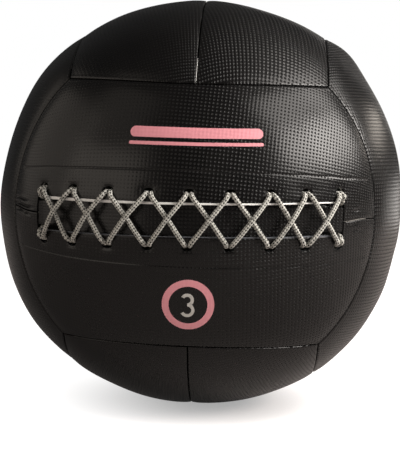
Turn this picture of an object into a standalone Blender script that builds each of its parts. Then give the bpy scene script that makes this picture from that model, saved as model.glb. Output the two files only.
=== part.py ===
"""Laced soft-shell wall ball: twelve sewn cover panels, foam, lacing, liner, filling and ballast.

Metres, +Z up. The ball stands on a small flat at the origin, and the laced opening faces -Y.
Run with: blender --background --python part.py
"""
import math

import bmesh
import bpy
import numpy as np
from mathutils import Matrix, Vector

MM = 0.001

# Ball: mean radius, how far the middle of a face lies inside it, and the exponent of the rounded-cube
# shape that the twelve strips pull the ball into (2 is a sphere)
BALL_RADIUS = 175.0 * MM
FACE_INSET = 1.6 * MM
SQUARENESS = 2.12
BASE_FLAT_DEPTH = 0.5 * MM

# Covers: sheet thickness, gap between sewn panels, and the dip and roll of the sheet into a seam
COVER_THICKNESS = 2.4 * MM
SEAM_GAP = 0.3 * MM
SEAM_DIP = 4.0 * MM
SEAM_ROLL = 9.0 * MM
SEAM_TURN = 3.6 * MM
LAYER_GAP = 0.6 * MM

# Foam pads
PAD_THICKNESS = 10.5 * MM

# Laced opening in the front: lengths run round the ball, heights are along Z
WINDOW_HALF_LENGTH = 132.9 * MM
WINDOW_HALF_HEIGHT = 13.0 * MM
WINDOW_SEAM_START = 146.6 * MM
HOLE_COUNT = 9
HOLE_PITCH = 31.8 * MM
HOLE_HEIGHT = 22.0 * MM
HOLE_WIDTH = 9.2 * MM
HOLE_TALL = 6.4 * MM

# Facings behind the lips of the opening, and the tongue behind them
FACING_THICKNESS = 1.4 * MM
FACING_PROUD = 1.5 * MM
FACING_BACK = 39.0 * MM
FACING_HALF_LENGTH = 146.0 * MM
TONGUE_THICKNESS = 1.5 * MM
TONGUE_HALF_HEIGHT = 17.8 * MM
TONGUE_HALF_LENGTH = 126.4 * MM

# Lace: one round cord
LACE_DIAMETER = 3.6 * MM
LACE_APART = 4.6 * MM
LACE_LIFT = 0.8 * MM
LACE_BEHIND = 0.6 * MM
LACE_CROSS = 4.7 * MM
LACE_SINK = 1.8 * MM
LACE_STEP = 0.6 * MM
LACE_LONGEST = 16.0 * MM
LACE_TURN = math.radians(29.0)
LACE_SELF_REACH = 12.0 * MM

# Liner bag, filling, ballast pouch and ballast
LINER_THICKNESS = 1.2 * MM
LINER_GAP = 0.3 * MM
BALLAST_RADIUS = 48.0 * MM
POUCH_THICKNESS = 1.5 * MM
HALF_GAP = 0.3 * MM

# Fineness of the meshes
PANEL_CELLS = (12, 6)
FRONT_PAD_CELL = 3
CROWDING = 0.8
SPHERE_CELLS = (16, 8)
HOLE_SIDES = 10
SMOOTH_ANGLE = math.radians(40.0)
CUT_OVERRUN = 12.0 * MM
MERGE = 0.01 * MM

SEAM_PLANE = BALL_RADIUS / math.sqrt(3.0)
SEAM_RING = math.sqrt(BALL_RADIUS ** 2 - SEAM_PLANE ** 2)
FACE_RADIUS = BALL_RADIUS - FACE_INSET
FACING_DEPTH = COVER_THICKNESS + LAYER_GAP
TONGUE_DEPTH = FACING_DEPTH + FACING_THICKNESS + LAYER_GAP
LACE_RADIUS = LACE_DIAMETER / 2

# Each face's axes: along its strips, across them, and outwards
FACES = {
    "front": ((1, 0, 0), (0, 0, 1), (0, -1, 0)),
    "back": ((1, 0, 0), (0, 0, 1), (0, 1, 0)),
    "right": ((0, 0, 1), (0, 1, 0), (1, 0, 0)),
    "left": ((0, 0, 1), (0, 1, 0), (-1, 0, 0)),
    "top": ((0, 1, 0), (1, 0, 0), (0, 0, 1)),
    "bottom": ((0, 1, 0), (1, 0, 0), (0, 0, -1)),
}

# The two strips of each face: name and the side of the face's split that it lies on
STRIPS = {
    "front": (("upper", 1), ("lower", -1)),
    "back": (("upper", 1), ("lower", -1)),
    "right": (("rear", 1), ("front", -1)),
    "left": (("rear", 1), ("front", -1)),
    "top": (("right", 1), ("left", -1)),
    "bottom": (("right", 1), ("left", -1)),
}


def material(name, colour, roughness, metallic=0.0):
    """A plain Principled material."""
    made = bpy.data.materials.new(name)
    made.use_nodes = True
    shader = made.node_tree.nodes["Principled BSDF"]
    shader.inputs["Base Color"].default_value = (*colour, 1.0)
    shader.inputs["Roughness"].default_value = roughness
    shader.inputs["Metallic"].default_value = metallic
    return made


def smooth_rise(share):
    """0 below 0, 1 above 1 and an S-shaped rise between."""
    held = np.clip(share, 0.0, 1.0)
    return held * held * (3.0 - 2.0 * held)


def outline_radius(directions):
    """Radius of the rounded cube in each unit direction."""
    total = np.sum(np.abs(directions) ** SQUARENESS, axis=-1)
    return FACE_RADIUS * total ** (-1.0 / SQUARENESS)


def seam_dip(face, angle, across):
    """How far the sheet dips towards its seams, at an angle along the strip and a height across it."""
    ring = np.sqrt(BALL_RADIUS ** 2 - across ** 2)
    end_angle = np.arccos(np.minimum(SEAM_PLANE / ring, 1.0))
    to_end = ring * (end_angle - np.abs(angle))
    to_side = BALL_RADIUS * (math.asin(SEAM_PLANE / BALL_RADIUS) - np.arcsin(np.abs(across) / BALL_RADIUS))
    to_split = BALL_RADIUS * np.arcsin(np.abs(across) / BALL_RADIUS)
    split = np.exp(-to_split / SEAM_ROLL)
    if face == "front":
        start = WINDOW_SEAM_START / BALL_RADIUS
        end = math.acos(SEAM_PLANE / BALL_RADIUS)
        split = split * smooth_rise((np.abs(angle) - start) / (end - start))
    open_share = (1 - split) * (1 - np.exp(-to_side / SEAM_ROLL)) * (1 - np.exp(-to_end / SEAM_ROLL))
    return SEAM_DIP * (1 - open_share)


def skin(face, angle, across, lift=0.0):
    """Points over a face, about the ball's centre: lift is the height above the cover's outer skin."""
    along_axis, across_axis, out_axis = (np.array(axis, float) for axis in FACES[face])
    angle, across = np.broadcast_arrays(np.asarray(angle, float), np.asarray(across, float))
    ring = np.sqrt(BALL_RADIUS ** 2 - across ** 2)
    flat = (
        (ring * np.sin(angle))[..., None] * along_axis
        + across[..., None] * across_axis
        + (ring * np.cos(angle))[..., None] * out_axis
    )
    directions = flat / BALL_RADIUS
    radius = outline_radius(directions) - seam_dip(face, angle, across) + lift
    return directions * radius[..., None]


def lowest_skin():
    """Height of the lowest point of the bottom face, about the ball's centre."""
    half_angle = math.acos(SEAM_PLANE / BALL_RADIUS) / 2
    angle, across = np.meshgrid(
        np.linspace(-half_angle, half_angle, 81),
        np.linspace(-SEAM_PLANE / 2, SEAM_PLANE / 2, 241),
    )
    return float(skin("bottom", angle, across)[..., 2].min())


CENTRE_HEIGHT = -(lowest_skin() + BASE_FLAT_DEPTH)
CENTRE = Vector((0, 0, CENTRE_HEIGHT))


def add_object(name, mesh, collection, finish=None):
    """Link a mesh at the ball's centre as an object with a material."""
    made = bpy.data.objects.new(name, mesh)
    made.location = CENTRE
    collection.objects.link(made)
    if finish:
        mesh.materials.append(finish)
    return made


def grid_mesh(name, cells, place, turned, fold=False):
    """A grid mapped by place(u, v), u and v from 0 to 1; fold adds a rim whose rows place() turns in."""
    count_u, count_v = cells
    rim = 1 if fold else 0
    bm = bmesh.new()
    bmesh.ops.create_grid(
        bm, x_segments=count_u + 2 * rim, y_segments=count_v + 2 * rim, size=0.5
    )
    bm.verts.ensure_lookup_table()
    flat = np.array([vert.co for vert in bm.verts])
    column = np.rint((flat[:, 0] + 0.5) * (count_u + 2 * rim)) - rim
    row = np.rint((flat[:, 1] + 0.5) * (count_v + 2 * rim)) - rim
    folded = (column < 0) | (column > count_u) | (row < 0) | (row > count_v)
    u = np.clip(column, 0, count_u) / count_u
    v = np.clip(row, 0, count_v) / count_v
    for vert, point in zip(bm.verts, place(u, v, folded)):
        vert.co = point
    if fold:
        bmesh.ops.remove_doubles(bm, verts=bm.verts, dist=MERGE)
    if turned:
        bmesh.ops.reverse_faces(bm, faces=bm.faces)
    mesh = bpy.data.meshes.new(name)
    bm.to_mesh(mesh)
    bm.free()
    return mesh


def spread(share):
    """Even shares from 0 to 1, crowded towards both ends, where the sheet bends most."""
    return CROWDING * (1 - np.cos(math.pi * share)) / 2 + (1 - CROWDING) * share


def add_solidify(made, thickness):
    """Give an outward-facing sheet its thickness, inwards."""
    wall = made.modifiers.new("Thickness", "SOLIDIFY")
    wall.thickness = thickness
    wall.offset = -1.0
    wall.use_even_offset = True


def add_cut(made, cutter):
    """Cut one object by another."""
    cut = made.modifiers.new("Cut " + cutter.name, "BOOLEAN")
    cut.operation = "DIFFERENCE"
    cut.object = cutter
    cut.solver = "EXACT"


def turned_over(face, side):
    """Whether a strip's along and across directions give an inward normal."""
    along_axis, across_axis, out_axis = (Vector(axis) for axis in FACES[face])
    return along_axis.cross(across_axis * side).dot(out_axis) < 0


def strip_place(face, side, lift):
    """The mapping of one strip: u runs along it and v from the face's split to the side seam.

    Both are shared out by angle on the seams' circle, so that sewn edges meet point to point.
    """
    margin = SEAM_GAP / 2
    start, end = (math.asin(edge / SEAM_RING) for edge in (margin, SEAM_PLANE - margin))

    def place(u, v, folded):
        across = SEAM_RING * np.sin(start + (end - start) * spread(v))
        ring = np.sqrt(BALL_RADIUS ** 2 - across ** 2)
        end_angle = np.arccos((SEAM_PLANE + margin) / ring)
        half = 2 * u - 1
        angle = end_angle * np.sign(half) * spread(np.abs(half))
        return skin(face, angle, side * across, np.where(folded, lift - SEAM_TURN, lift))

    return place


def build_cover(face, strip, side, collection, finish):
    """One sewn panel: a sheet that rolls into its seams, with its edges turned in."""
    name = f"cover_{face}_{strip}"
    place = strip_place(face, side, 0.0)
    mesh = grid_mesh(name, PANEL_CELLS, place, turned_over(face, side), fold=True)
    made = add_object(name, mesh, collection, finish)
    add_solidify(made, COVER_THICKNESS)
    return made


def build_pad(face, strip, side, collection, finish):
    """The foam bonded behind a panel, one cell short of its seams: it follows the sheet's own cells
    outside and a sphere inside. The front pads stop behind the facings."""
    name = f"pad_{face}_{strip}"
    count_u, count_v = PANEL_CELLS
    first = FRONT_PAD_CELL if face == "front" else 1
    strip_at = strip_place(face, side, -COVER_THICKNESS - LAYER_GAP)

    def place(u, v, folded):
        along = (1 + (count_u - 2) * u) / count_u
        across = (first + (count_v - 1 - first) * v) / count_v
        return strip_at(along, across, folded)

    mesh = grid_mesh(name, (count_u - 2, count_v - 1 - first), place, turned_over(face, side))
    bm = bmesh.new()
    bm.from_mesh(mesh)
    grown = bmesh.ops.extrude_face_region(bm, geom=bm.faces[:])
    for item in grown["geom"]:
        if isinstance(item, bmesh.types.BMVert):
            item.co = item.co.normalized() * PAD_INNER_RADIUS
    bmesh.ops.recalc_face_normals(bm, faces=bm.faces)
    bm.to_mesh(mesh)
    bm.free()
    return add_object(name, mesh, collection, finish)


def stations(low, high, candidates):
    """Both ends of a stretch and the candidates between them."""
    return [low, *(station for station in candidates if low < station < high), high]


def panel_columns():
    """Where the panels' columns stand, as shares of the strip's end angle."""
    half = np.linspace(-1, 1, PANEL_CELLS[0] + 1)
    return np.sign(half) * spread(np.abs(half))


def panel_rows():
    """Heights of the front panels' rows of points above and below the middle."""
    rows = SEAM_RING * np.sin(math.asin(SEAM_PLANE / SEAM_RING) * spread(np.linspace(0, 1, PANEL_CELLS[1] + 1)))
    return np.unique(np.concatenate([-rows, rows]))


def between(stops, places):
    """For each place, the index of the stop before it and its share of the way to the next."""
    index = np.clip(np.searchsorted(stops, places) - 1, 0, len(stops) - 2)
    return index, (places - stops[index]) / (stops[index + 1] - stops[index])


def on_front_cells(share, height, lift):
    """Points on the flat cells of the front panels, by share of the end angle and height."""
    columns, rows = panel_columns(), panel_rows()
    end_angles = np.arccos(SEAM_PLANE / np.sqrt(BALL_RADIUS ** 2 - rows ** 2))
    corners = skin("front", columns[:, None] * end_angles, rows, lift)
    column, right = between(columns, share)
    row, up = between(rows, height)
    right, up = right[:, None], up[:, None]
    low = corners[column, row] * (1 - right) + corners[column + 1, row] * right
    high = corners[column, row + 1] * (1 - right) + corners[column + 1, row + 1] * right
    return low * (1 - up) + high * up


def front_point(around, height, lift):
    """A point over the front panels: around is the arc from the middle, height is along Z."""
    end_angle = math.acos(SEAM_PLANE / math.sqrt(BALL_RADIUS ** 2 - height ** 2))
    share = around / BALL_RADIUS / end_angle
    return on_front_cells(np.array([share]), np.array([height]), lift)[0]


def front_band(name, around, low, high, lift, thickness, collection, finish=None):
    """A band that lies on the cells of the front face from -around to around and from low to high."""
    end_share = around / (BALL_RADIUS * math.acos(SEAM_PLANE / BALL_RADIUS))
    columns = np.array(stations(-end_share, end_share, panel_columns()))
    rows = np.array(stations(low, high, panel_rows()))

    def place(u, v, folded):
        share = columns[np.rint(u * (len(columns) - 1)).astype(int)]
        height = rows[np.rint(v * (len(rows) - 1)).astype(int)]
        return on_front_cells(share, height, lift)

    mesh = grid_mesh(name, (len(columns) - 1, len(rows) - 1), place, turned_over("front", 1))
    made = add_object(name, mesh, collection, finish)
    add_solidify(made, thickness)
    return made


def add_cutter(made):
    """Show a cutter as a guide only."""
    made.hide_render = True
    made.display_type = "WIRE"
    return made


def hole_arcs():
    """Arc from the middle of the front to each column of lace holes."""
    middle = (HOLE_COUNT - 1) / 2
    return [(index - middle) * HOLE_PITCH for index in range(HOLE_COUNT)]


def build_hole_cutter(name, side, collection):
    """The row of oval lace holes above or below the opening, as one cutter."""
    bm = bmesh.new()
    for arc in hole_arcs():
        middle = Vector(front_point(arc, side * HOLE_HEIGHT, 0.0))
        outwards = middle.normalized()
        sideways = Vector((0, 0, 1)).cross(outwards).normalized()
        upwards = outwards.cross(sideways)
        turn = Matrix((sideways, upwards, outwards)).transposed().to_4x4()
        size = Matrix.Diagonal((HOLE_WIDTH / 2, HOLE_TALL / 2, 2 * CUT_OVERRUN, 1.0))
        bmesh.ops.create_cone(
            bm, cap_ends=True, segments=HOLE_SIDES, radius1=1, radius2=1, depth=1,
            matrix=Matrix.Translation(middle) @ turn @ size,
        )
    mesh = bpy.data.meshes.new(name)
    bm.to_mesh(mesh)
    bm.free()
    return add_cutter(add_object(name, mesh, collection))


def build_base_cutter(collection):
    """A block under the floor plane, which cuts the ball's small flat."""
    bm = bmesh.new()
    size = Matrix.Diagonal((SEAM_PLANE, SEAM_PLANE, CUT_OVERRUN, 1.0))
    drop = Matrix.Translation((0, 0, -CENTRE_HEIGHT - CUT_OVERRUN / 2))
    bmesh.ops.create_cube(bm, size=1.0, matrix=drop @ size)
    mesh = bpy.data.meshes.new("base_cutter")
    bm.to_mesh(mesh)
    bm.free()
    return add_cutter(add_object("base_cutter", mesh, collection))


def column_stops(arc, flip, sunk):
    """One strand's way in through a hole, behind the tongue and out of the hole on the other side.

    Each stop is an arc, a height and a lift. flip is 1 for the strand that goes in at the top.
    """
    aside = LACE_APART / 2
    outside = LACE_RADIUS + LACE_LIFT
    tongue_back = -TONGUE_DEPTH - TONGUE_THICKNESS
    inside = tongue_back - LACE_RADIUS - LACE_BEHIND
    reach = HOLE_HEIGHT - LACE_RADIUS / 2
    slope = (HOLE_PITCH - LACE_APART) / (2 * reach)
    lip = WINDOW_HALF_HEIGHT - FACING_PROUD
    way_in = [
        (arc - aside - slope * (reach - lip), lip, outside),
        (arc - aside, reach - LACE_RADIUS, outside),
        (arc - aside, HOLE_HEIGHT - LACE_RADIUS / 4, LACE_RADIUS / 2),
        (arc - aside, HOLE_HEIGHT + LACE_LIFT / 2, -COVER_THICKNESS),
        (arc - aside, HOLE_HEIGHT, tongue_back),
        (arc - aside, HOLE_HEIGHT - LACE_RADIUS, inside),
        (arc - aside, TONGUE_HALF_HEIGHT - 2 * LACE_RADIUS, inside - sunk / 2),
    ]
    middle = [(arc, 0.0, inside - sunk)]
    way_out = [(2 * arc - around, -height, lift) for around, height, lift in reversed(way_in)]
    return [(around, flip * height, lift) for around, height, lift in way_in + middle + way_out]


def strand_stops(flip, lift, sunk):
    """All the stops of one strand, from the left column to the right one."""
    arcs = hole_arcs()
    stops = []
    for arc in arcs:
        stops += column_stops(arc, flip, sunk)
        if arc is not arcs[-1]:
            stops.append((arc + HOLE_PITCH / 2, 0.0, lift))
    return stops


def end_stops(side, height_sign):
    """The short run from an end hole over the lip, down at the end of the opening and behind its edge."""
    edge = WINDOW_HALF_LENGTH - LACE_DIAMETER
    shelf = WINDOW_HALF_HEIGHT - FACING_PROUD - LACE_RADIUS - LACE_LIFT
    behind = -COVER_THICKNESS - LACE_RADIUS - LACE_LIFT
    places = [
        (edge, WINDOW_HALF_HEIGHT, LACE_RADIUS + LACE_LIFT),
        (edge, shelf, -LACE_RADIUS / 2),
        (edge + LACE_RADIUS, shelf - LACE_RADIUS / 2, behind),
        (edge + 3 * LACE_RADIUS, shelf - LACE_RADIUS, behind - LACE_RADIUS / 2),
        (edge + 4 * LACE_RADIUS, shelf - 2 * LACE_RADIUS, behind - LACE_RADIUS),
    ]
    return [(side * around, height_sign * height, lift) for around, height, lift in places]


def lace_stops():
    """The whole lace: one strand back to the left, the loop behind the left end, the other strand."""
    under = strand_stops(-1, -LACE_SINK, LACE_CROSS)
    over = strand_stops(1, LACE_CROSS - LACE_SINK, 0.0)
    back = end_stops(1, 1)[::-1] + under[-2:0:-1] + end_stops(-1, -1)
    return back + end_stops(-1, 1)[::-1] + over[1:-1] + end_stops(1, -1)


def smooth_route(stops):
    """Points along a centripetal Catmull-Rom curve through the stops, a short step apart."""
    knots = np.vstack([2 * stops[0] - stops[1], stops, 2 * stops[-1] - stops[-2]])
    points = []
    for before, start, end, after in zip(knots, knots[1:], knots[2:], knots[3:]):
        gaps = [np.linalg.norm(b - a) ** 0.5 for a, b in ((before, start), (start, end), (end, after))]
        t1, t2, t3 = np.cumsum(gaps)
        count = max(2, math.ceil(np.linalg.norm(end - start) / LACE_STEP))
        t = np.linspace(t1, t2, count, endpoint=False)[:, None]
        a1 = (t1 - t) / t1 * before + t / t1 * start
        a2 = (t2 - t) / (t2 - t1) * start + (t - t1) / (t2 - t1) * end
        a3 = (t3 - t) / (t3 - t2) * end + (t - t2) / (t3 - t2) * after
        b1 = (t2 - t) / t2 * a1 + t / t2 * a2
        b2 = (t3 - t) / (t3 - t1) * a2 + (t - t1) / (t3 - t1) * a3
        points.append((t2 - t) / (t2 - t1) * b1 + (t - t1) / (t2 - t1) * b2)
    return np.vstack(points + [stops[-1:]])


def thin_out(points):
    """Drop points where the route runs straight, and keep them where it bends."""
    kept = [0]
    heading = None
    for index in range(1, len(points) - 1):
        step = points[index + 1] - points[index]
        step = step / np.linalg.norm(step)
        if heading is None:
            heading = step
        turned = math.acos(min(1.0, float(heading @ step)))
        far = np.linalg.norm(points[index] - points[kept[-1]]) > LACE_LONGEST
        if turned > LACE_TURN or far:
            kept.append(index)
            heading = step
    kept.append(len(points) - 1)
    return points[kept]


def least_self_gap(points):
    """Least clear distance between stretches of the lace that aren't neighbours along it."""
    steps = np.linalg.norm(np.diff(points, axis=0), axis=1)
    run = np.concatenate([[0.0], np.cumsum(steps)])
    least = math.inf
    for index in range(0, len(points), 2):
        apart = np.linalg.norm(points - points[index], axis=1)
        least = min(least, float(apart[np.abs(run - run[index]) > LACE_SELF_REACH].min()))
    return least - LACE_DIAMETER


def build_lace(collection, finish):
    """The lace as one unbroken tube along its whole route."""
    stops = np.array([front_point(*stop) for stop in lace_stops()])
    fine = smooth_route(stops)
    points = thin_out(fine)
    length = float(np.linalg.norm(np.diff(fine, axis=0), axis=1).sum())
    print(f"lace: {len(points)} points, {length:.3f} m long, {least_self_gap(fine) / MM:.2f} mm least gap")
    curve = bpy.data.curves.new("lace", "CURVE")
    curve.dimensions = "3D"
    curve.bevel_depth = LACE_RADIUS
    curve.bevel_resolution = 1
    curve.use_fill_caps = True
    spline = curve.splines.new("POLY")
    spline.points.add(len(points) - 1)
    spline.points.foreach_set("co", np.column_stack([points, np.ones(len(points))]).ravel())
    curve.materials.append(finish)
    made = bpy.data.objects.new("lace", curve)
    made.location = CENTRE
    collection.objects.link(made)
    return made


def half_sphere(name, radius, thickness, side, collection, finish):
    """One half of a hollow sphere, above or below the middle, turned from its section."""
    rings = SPHERE_CELLS[1] // 2
    section = []
    for wall_radius in (radius, radius - thickness):
        rim_angle = math.asin(HALF_GAP / 2 / wall_radius)
        angles = np.linspace(math.pi / 2, rim_angle, rings + 1)
        arc = [(wall_radius * math.cos(angle), side * wall_radius * math.sin(angle)) for angle in angles]
        section.append(arc)
    path = section[0] + section[1][::-1]
    return turned_solid(name, path if side > 0 else path[::-1], collection, finish)


def turned_solid(name, path, collection, finish):
    """A solid turned about Z from a section of (radius, height) points that starts and ends on the axis."""
    mesh = bpy.data.meshes.new(name)
    bm = bmesh.new()
    verts = [bm.verts.new((reach, 0.0, height)) for reach, height in path]
    for start, end in zip(verts, verts[1:]):
        bm.edges.new((start, end))
    bm.to_mesh(mesh)
    bm.free()
    made = add_object(name, mesh, collection, finish)
    screw = made.modifiers.new("Turned", "SCREW")
    screw.steps = SPHERE_CELLS[0]
    screw.render_steps = SPHERE_CELLS[0]
    screw.use_merge_vertices = True
    screw.merge_threshold = MERGE
    return made


# The foam's inner face, how far its flats lie inside its corners, and the shells that nest inside it
PAD_INNER_RADIUS = FACE_RADIUS - COVER_THICKNESS - LAYER_GAP - PAD_THICKNESS
WIDEST_SHARE = float(np.diff(spread(np.linspace(0, 1, PANEL_CELLS[1] + 1))).max())
WIDEST_ANGLE = WIDEST_SHARE * math.acos(SEAM_PLANE / BALL_RADIUS)
PAD_FLATS = math.cos(WIDEST_ANGLE / 2) ** 2
LINER_RADIUS = PAD_INNER_RADIUS * PAD_FLATS - LINER_GAP
FILLING_RADIUS = LINER_RADIUS - LINER_THICKNESS - LAYER_GAP
POUCH_RADIUS = BALLAST_RADIUS + LAYER_GAP + POUCH_THICKNESS
FILLING_THICKNESS = FILLING_RADIUS - POUCH_RADIUS - LAYER_GAP


def build_inside(collection, finishes):
    """Liner bag, fibre filling and ballast pouch in halves, and the ballast."""
    for strip, side in (("upper", 1), ("lower", -1)):
        half_sphere(
            "liner_" + strip, LINER_RADIUS, LINER_THICKNESS, side, collection, finishes["liner"]
        )
        half_sphere(
            "filling_" + strip, FILLING_RADIUS, FILLING_THICKNESS, side, collection, finishes["filling"]
        )
        half_sphere(
            "ballast_pouch_" + strip, POUCH_RADIUS, POUCH_THICKNESS, side, collection, finishes["pouch"]
        )
    angles = np.linspace(math.pi / 2, -math.pi / 2, SPHERE_CELLS[1] + 1)
    path = [(BALLAST_RADIUS * math.cos(angle), BALLAST_RADIUS * math.sin(angle)) for angle in angles]
    turned_solid("ballast", path, collection, finishes["ballast"])


def build_opening(collection, cutters, finishes, covers):
    """The laced opening: its slot and holes, the facings, the tongue and the lace."""
    window = add_cutter(
        front_band(
            "window_cutter", WINDOW_HALF_LENGTH, -WINDOW_HALF_HEIGHT, WINDOW_HALF_HEIGHT,
            CUT_OVERRUN / 2, 2 * CUT_OVERRUN, cutters,
        )
    )
    facing_edge = WINDOW_HALF_HEIGHT - FACING_PROUD
    for strip, side in STRIPS["front"]:
        low, high = sorted((side * facing_edge, side * FACING_BACK))
        facing = front_band(
            "lace_facing_" + strip, FACING_HALF_LENGTH, low, high,
            -FACING_DEPTH, FACING_THICKNESS, collection, finishes["facing"],
        )
        holes = build_hole_cutter(f"hole_cutter_{strip}", side, cutters)
        add_cut(covers["front", strip], window)
        add_cut(covers["front", strip], holes)
        add_cut(facing, holes)
    front_band(
        "tongue", TONGUE_HALF_LENGTH, -TONGUE_HALF_HEIGHT, TONGUE_HALF_HEIGHT,
        -TONGUE_DEPTH, TONGUE_THICKNESS, collection, finishes["cover"],
    )
    build_lace(collection, finishes["lace"])


def new_collection(name):
    """A collection in the scene."""
    made = bpy.data.collections.new(name)
    bpy.context.scene.collection.children.link(made)
    return made


def shade(collection):
    """Shade the round pieces smooth, with sharp cut edges."""
    for made in collection.objects:
        if made.type == "MESH":
            made.data.shade_smooth()
            made.data.set_sharp_from_angle(angle=SMOOTH_ANGLE)


def main():
    """Build the ball."""
    for old in list(bpy.data.objects):
        bpy.data.objects.remove(old)
    collection = new_collection("wall_ball")
    cutters = new_collection("cutters")
    finishes = {
        "cover": material("black embossed synthetic leather", (0.018, 0.017, 0.017), 0.48),
        "foam": material("grey foam", (0.23, 0.23, 0.24), 0.95),
        "facing": material("pale woven webbing", (0.72, 0.71, 0.69), 0.9),
        "lace": material("grey braided cord", (0.50, 0.49, 0.47), 0.8),
        "liner": material("natural cotton cloth", (0.62, 0.57, 0.48), 0.95),
        "filling": material("white polyester fibre", (0.80, 0.80, 0.78), 1.0),
        "pouch": material("grey canvas", (0.33, 0.32, 0.30), 0.95),
        "ballast": material("iron sand", (0.09, 0.08, 0.08), 0.7, 0.4),
    }
    covers = {}
    for face, strips in STRIPS.items():
        for strip, side in strips:
            covers[face, strip] = build_cover(face, strip, side, collection, finishes["cover"])
            build_pad(face, strip, side, collection, finishes["foam"])
    base = build_base_cutter(cutters)
    for strip, side in STRIPS["bottom"]:
        add_cut(covers["bottom", strip], base)
    build_opening(collection, cutters, finishes, covers)
    build_inside(collection, finishes)
    shade(collection)


main()
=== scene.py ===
"""Dresses the wall ball: embossed covers, seams, stitching, facings, lacing and plain prints.

Metres, +Z up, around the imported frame. The laced opening faces -Y.
"""
from __future__ import annotations

import logging
import math
from collections.abc import Callable
from dataclasses import dataclass
from enum import Enum
from functools import partial

import bmesh
import bpy
import numpy as np
from mathutils import Euler, Matrix, Vector

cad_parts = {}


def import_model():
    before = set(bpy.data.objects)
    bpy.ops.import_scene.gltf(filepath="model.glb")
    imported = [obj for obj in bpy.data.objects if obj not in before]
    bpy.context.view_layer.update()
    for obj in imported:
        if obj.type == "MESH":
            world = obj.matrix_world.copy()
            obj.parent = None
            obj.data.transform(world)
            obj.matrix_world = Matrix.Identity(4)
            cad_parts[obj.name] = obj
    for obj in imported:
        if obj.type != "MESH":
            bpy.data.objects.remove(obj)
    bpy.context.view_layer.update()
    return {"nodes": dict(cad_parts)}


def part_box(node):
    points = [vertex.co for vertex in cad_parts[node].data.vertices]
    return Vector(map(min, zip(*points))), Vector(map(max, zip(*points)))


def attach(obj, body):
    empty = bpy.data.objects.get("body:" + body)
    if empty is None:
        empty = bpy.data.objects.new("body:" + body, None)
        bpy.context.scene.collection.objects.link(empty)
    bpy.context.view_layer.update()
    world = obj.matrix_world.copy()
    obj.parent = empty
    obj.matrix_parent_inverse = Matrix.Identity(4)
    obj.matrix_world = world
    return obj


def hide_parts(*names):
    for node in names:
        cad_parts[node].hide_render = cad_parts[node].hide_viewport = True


Array = np.ndarray
Finish = bpy.types.Material
Piece = bpy.types.Object
Node = bpy.types.Node
Pair = tuple[float, float]
Stops = list[tuple[float, float, float]]
Path = tuple[Array, Array]

MM = 0.001
LOG = logging.getLogger("wall ball")
BODY = "root"
CHART = "chart"
WELD = 0.001 * MM
SHARP_EDGE = math.radians(50.0)
WHITE = "ffffff"
MOST_GROWING_STEPS = 60


# Small helpers

def linear_colour(hex_code: str) -> tuple[float, float, float, float]:
    """An sRGB hex colour as linear RGBA: a share s is s / 12.92 below 0.04045, and
    ((s + 0.055) / 1.055) to the power 2.4 above it."""
    shares = [int(hex_code[start:start + 2], 16) / 255 for start in (0, 2, 4)]
    linear = [s / 12.92 if s <= 0.04045 else ((s + 0.055) / 1.055) ** 2.4 for s in shares]
    return (linear[0], linear[1], linear[2], 1.0)


def smooth_rise(share: Array) -> Array:
    """0 below 0, 1 above 1 and 3 s^2 - 2 s^3 between."""
    held = np.clip(share, 0.0, 1.0)
    return held * held * (3.0 - 2.0 * held)


def quarter_round(distance: Array, radius: float) -> Array:
    """How far a rounded edge drops: r - sqrt(r^2 - (r - d)^2) within one radius of it, 0 beyond."""
    inside = radius - np.clip(distance, 0.0, radius)
    return radius - np.sqrt(np.maximum(radius ** 2 - inside ** 2, 0.0))


def unit(vectors: Array) -> Array:
    """Vectors divided by their lengths."""
    return vectors / np.linalg.norm(vectors, axis=-1, keepdims=True)


def toward(azimuth: float, elevation: float) -> Array:
    """Unit direction at an azimuth (0 in front, 90 to the right) and an elevation, in degrees."""
    turn, rise = math.radians(azimuth), math.radians(elevation)
    flat = math.cos(rise)
    return np.array([math.sin(turn) * flat, -math.cos(turn) * flat, math.sin(rise)])


def graded(length: float, fine: float, coarse: float, growth: float = 1.35) -> Array:
    """Stops from 0 to length whose steps grow from fine by a constant ratio up to coarse.

    Args:
        length: the whole stretch.
        fine: the first step.
        coarse: the longest step.
        growth: the ratio of one step to the step before it.

    Returns:
        The stops, stretched a little so that the last is at length.
    """
    most = int(length / fine) + 2
    steps = np.minimum(fine * growth ** np.minimum(np.arange(most), MOST_GROWING_STEPS), coarse)
    count = int(np.searchsorted(np.cumsum(steps), length)) + 1
    stops = np.concatenate([[0.0], np.cumsum(steps[:count])])
    return stops * (length / stops[-1])


def graded_both(length: float, fine: float, coarse: float) -> Array:
    """Stops from 0 to length with fine steps at both ends."""
    half = graded(length / 2, fine, coarse)
    return np.concatenate([half, length - half[-2::-1]])


def even_stops(low: float, high: float, step: float) -> Array:
    """Evenly spaced stops from low to high, about a step apart."""
    return np.linspace(low, high, max(2, round((high - low) / step) + 1))


def join_stops(*runs: Array) -> Array:
    """One rising list from runs that meet end to end."""
    return np.concatenate([runs[0], *(run[1:] for run in runs[1:])])


def run_lengths(points: Array) -> Array:
    """Length along a path at each of its points."""
    return np.concatenate([[0.0], np.cumsum(np.linalg.norm(np.diff(points, axis=0), axis=1))])


def between(t: Array, low: float, high: float, start: Array, end: Array) -> Array:
    """The straight line that is at start where t is low, and at end where t is high."""
    return (high - t) / (high - low) * start + (t - low) / (high - low) * end


def read_along(values: Array, run: Array, at: Array) -> Array:
    """Values by 3 read at other lengths along their path, in straight lines between points."""
    return np.stack([np.interp(at, run, values[:, axis]) for axis in range(3)], axis=-1)


# Faces, and the skin of the ball

@dataclass(frozen=True)
class FaceAxes:
    """Which way a face's strips run, and their names: first the one that lies further across."""

    along: tuple[int, int, int]
    across: tuple[int, int, int]
    out: tuple[int, int, int]
    strips: tuple[str, str]


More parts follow.
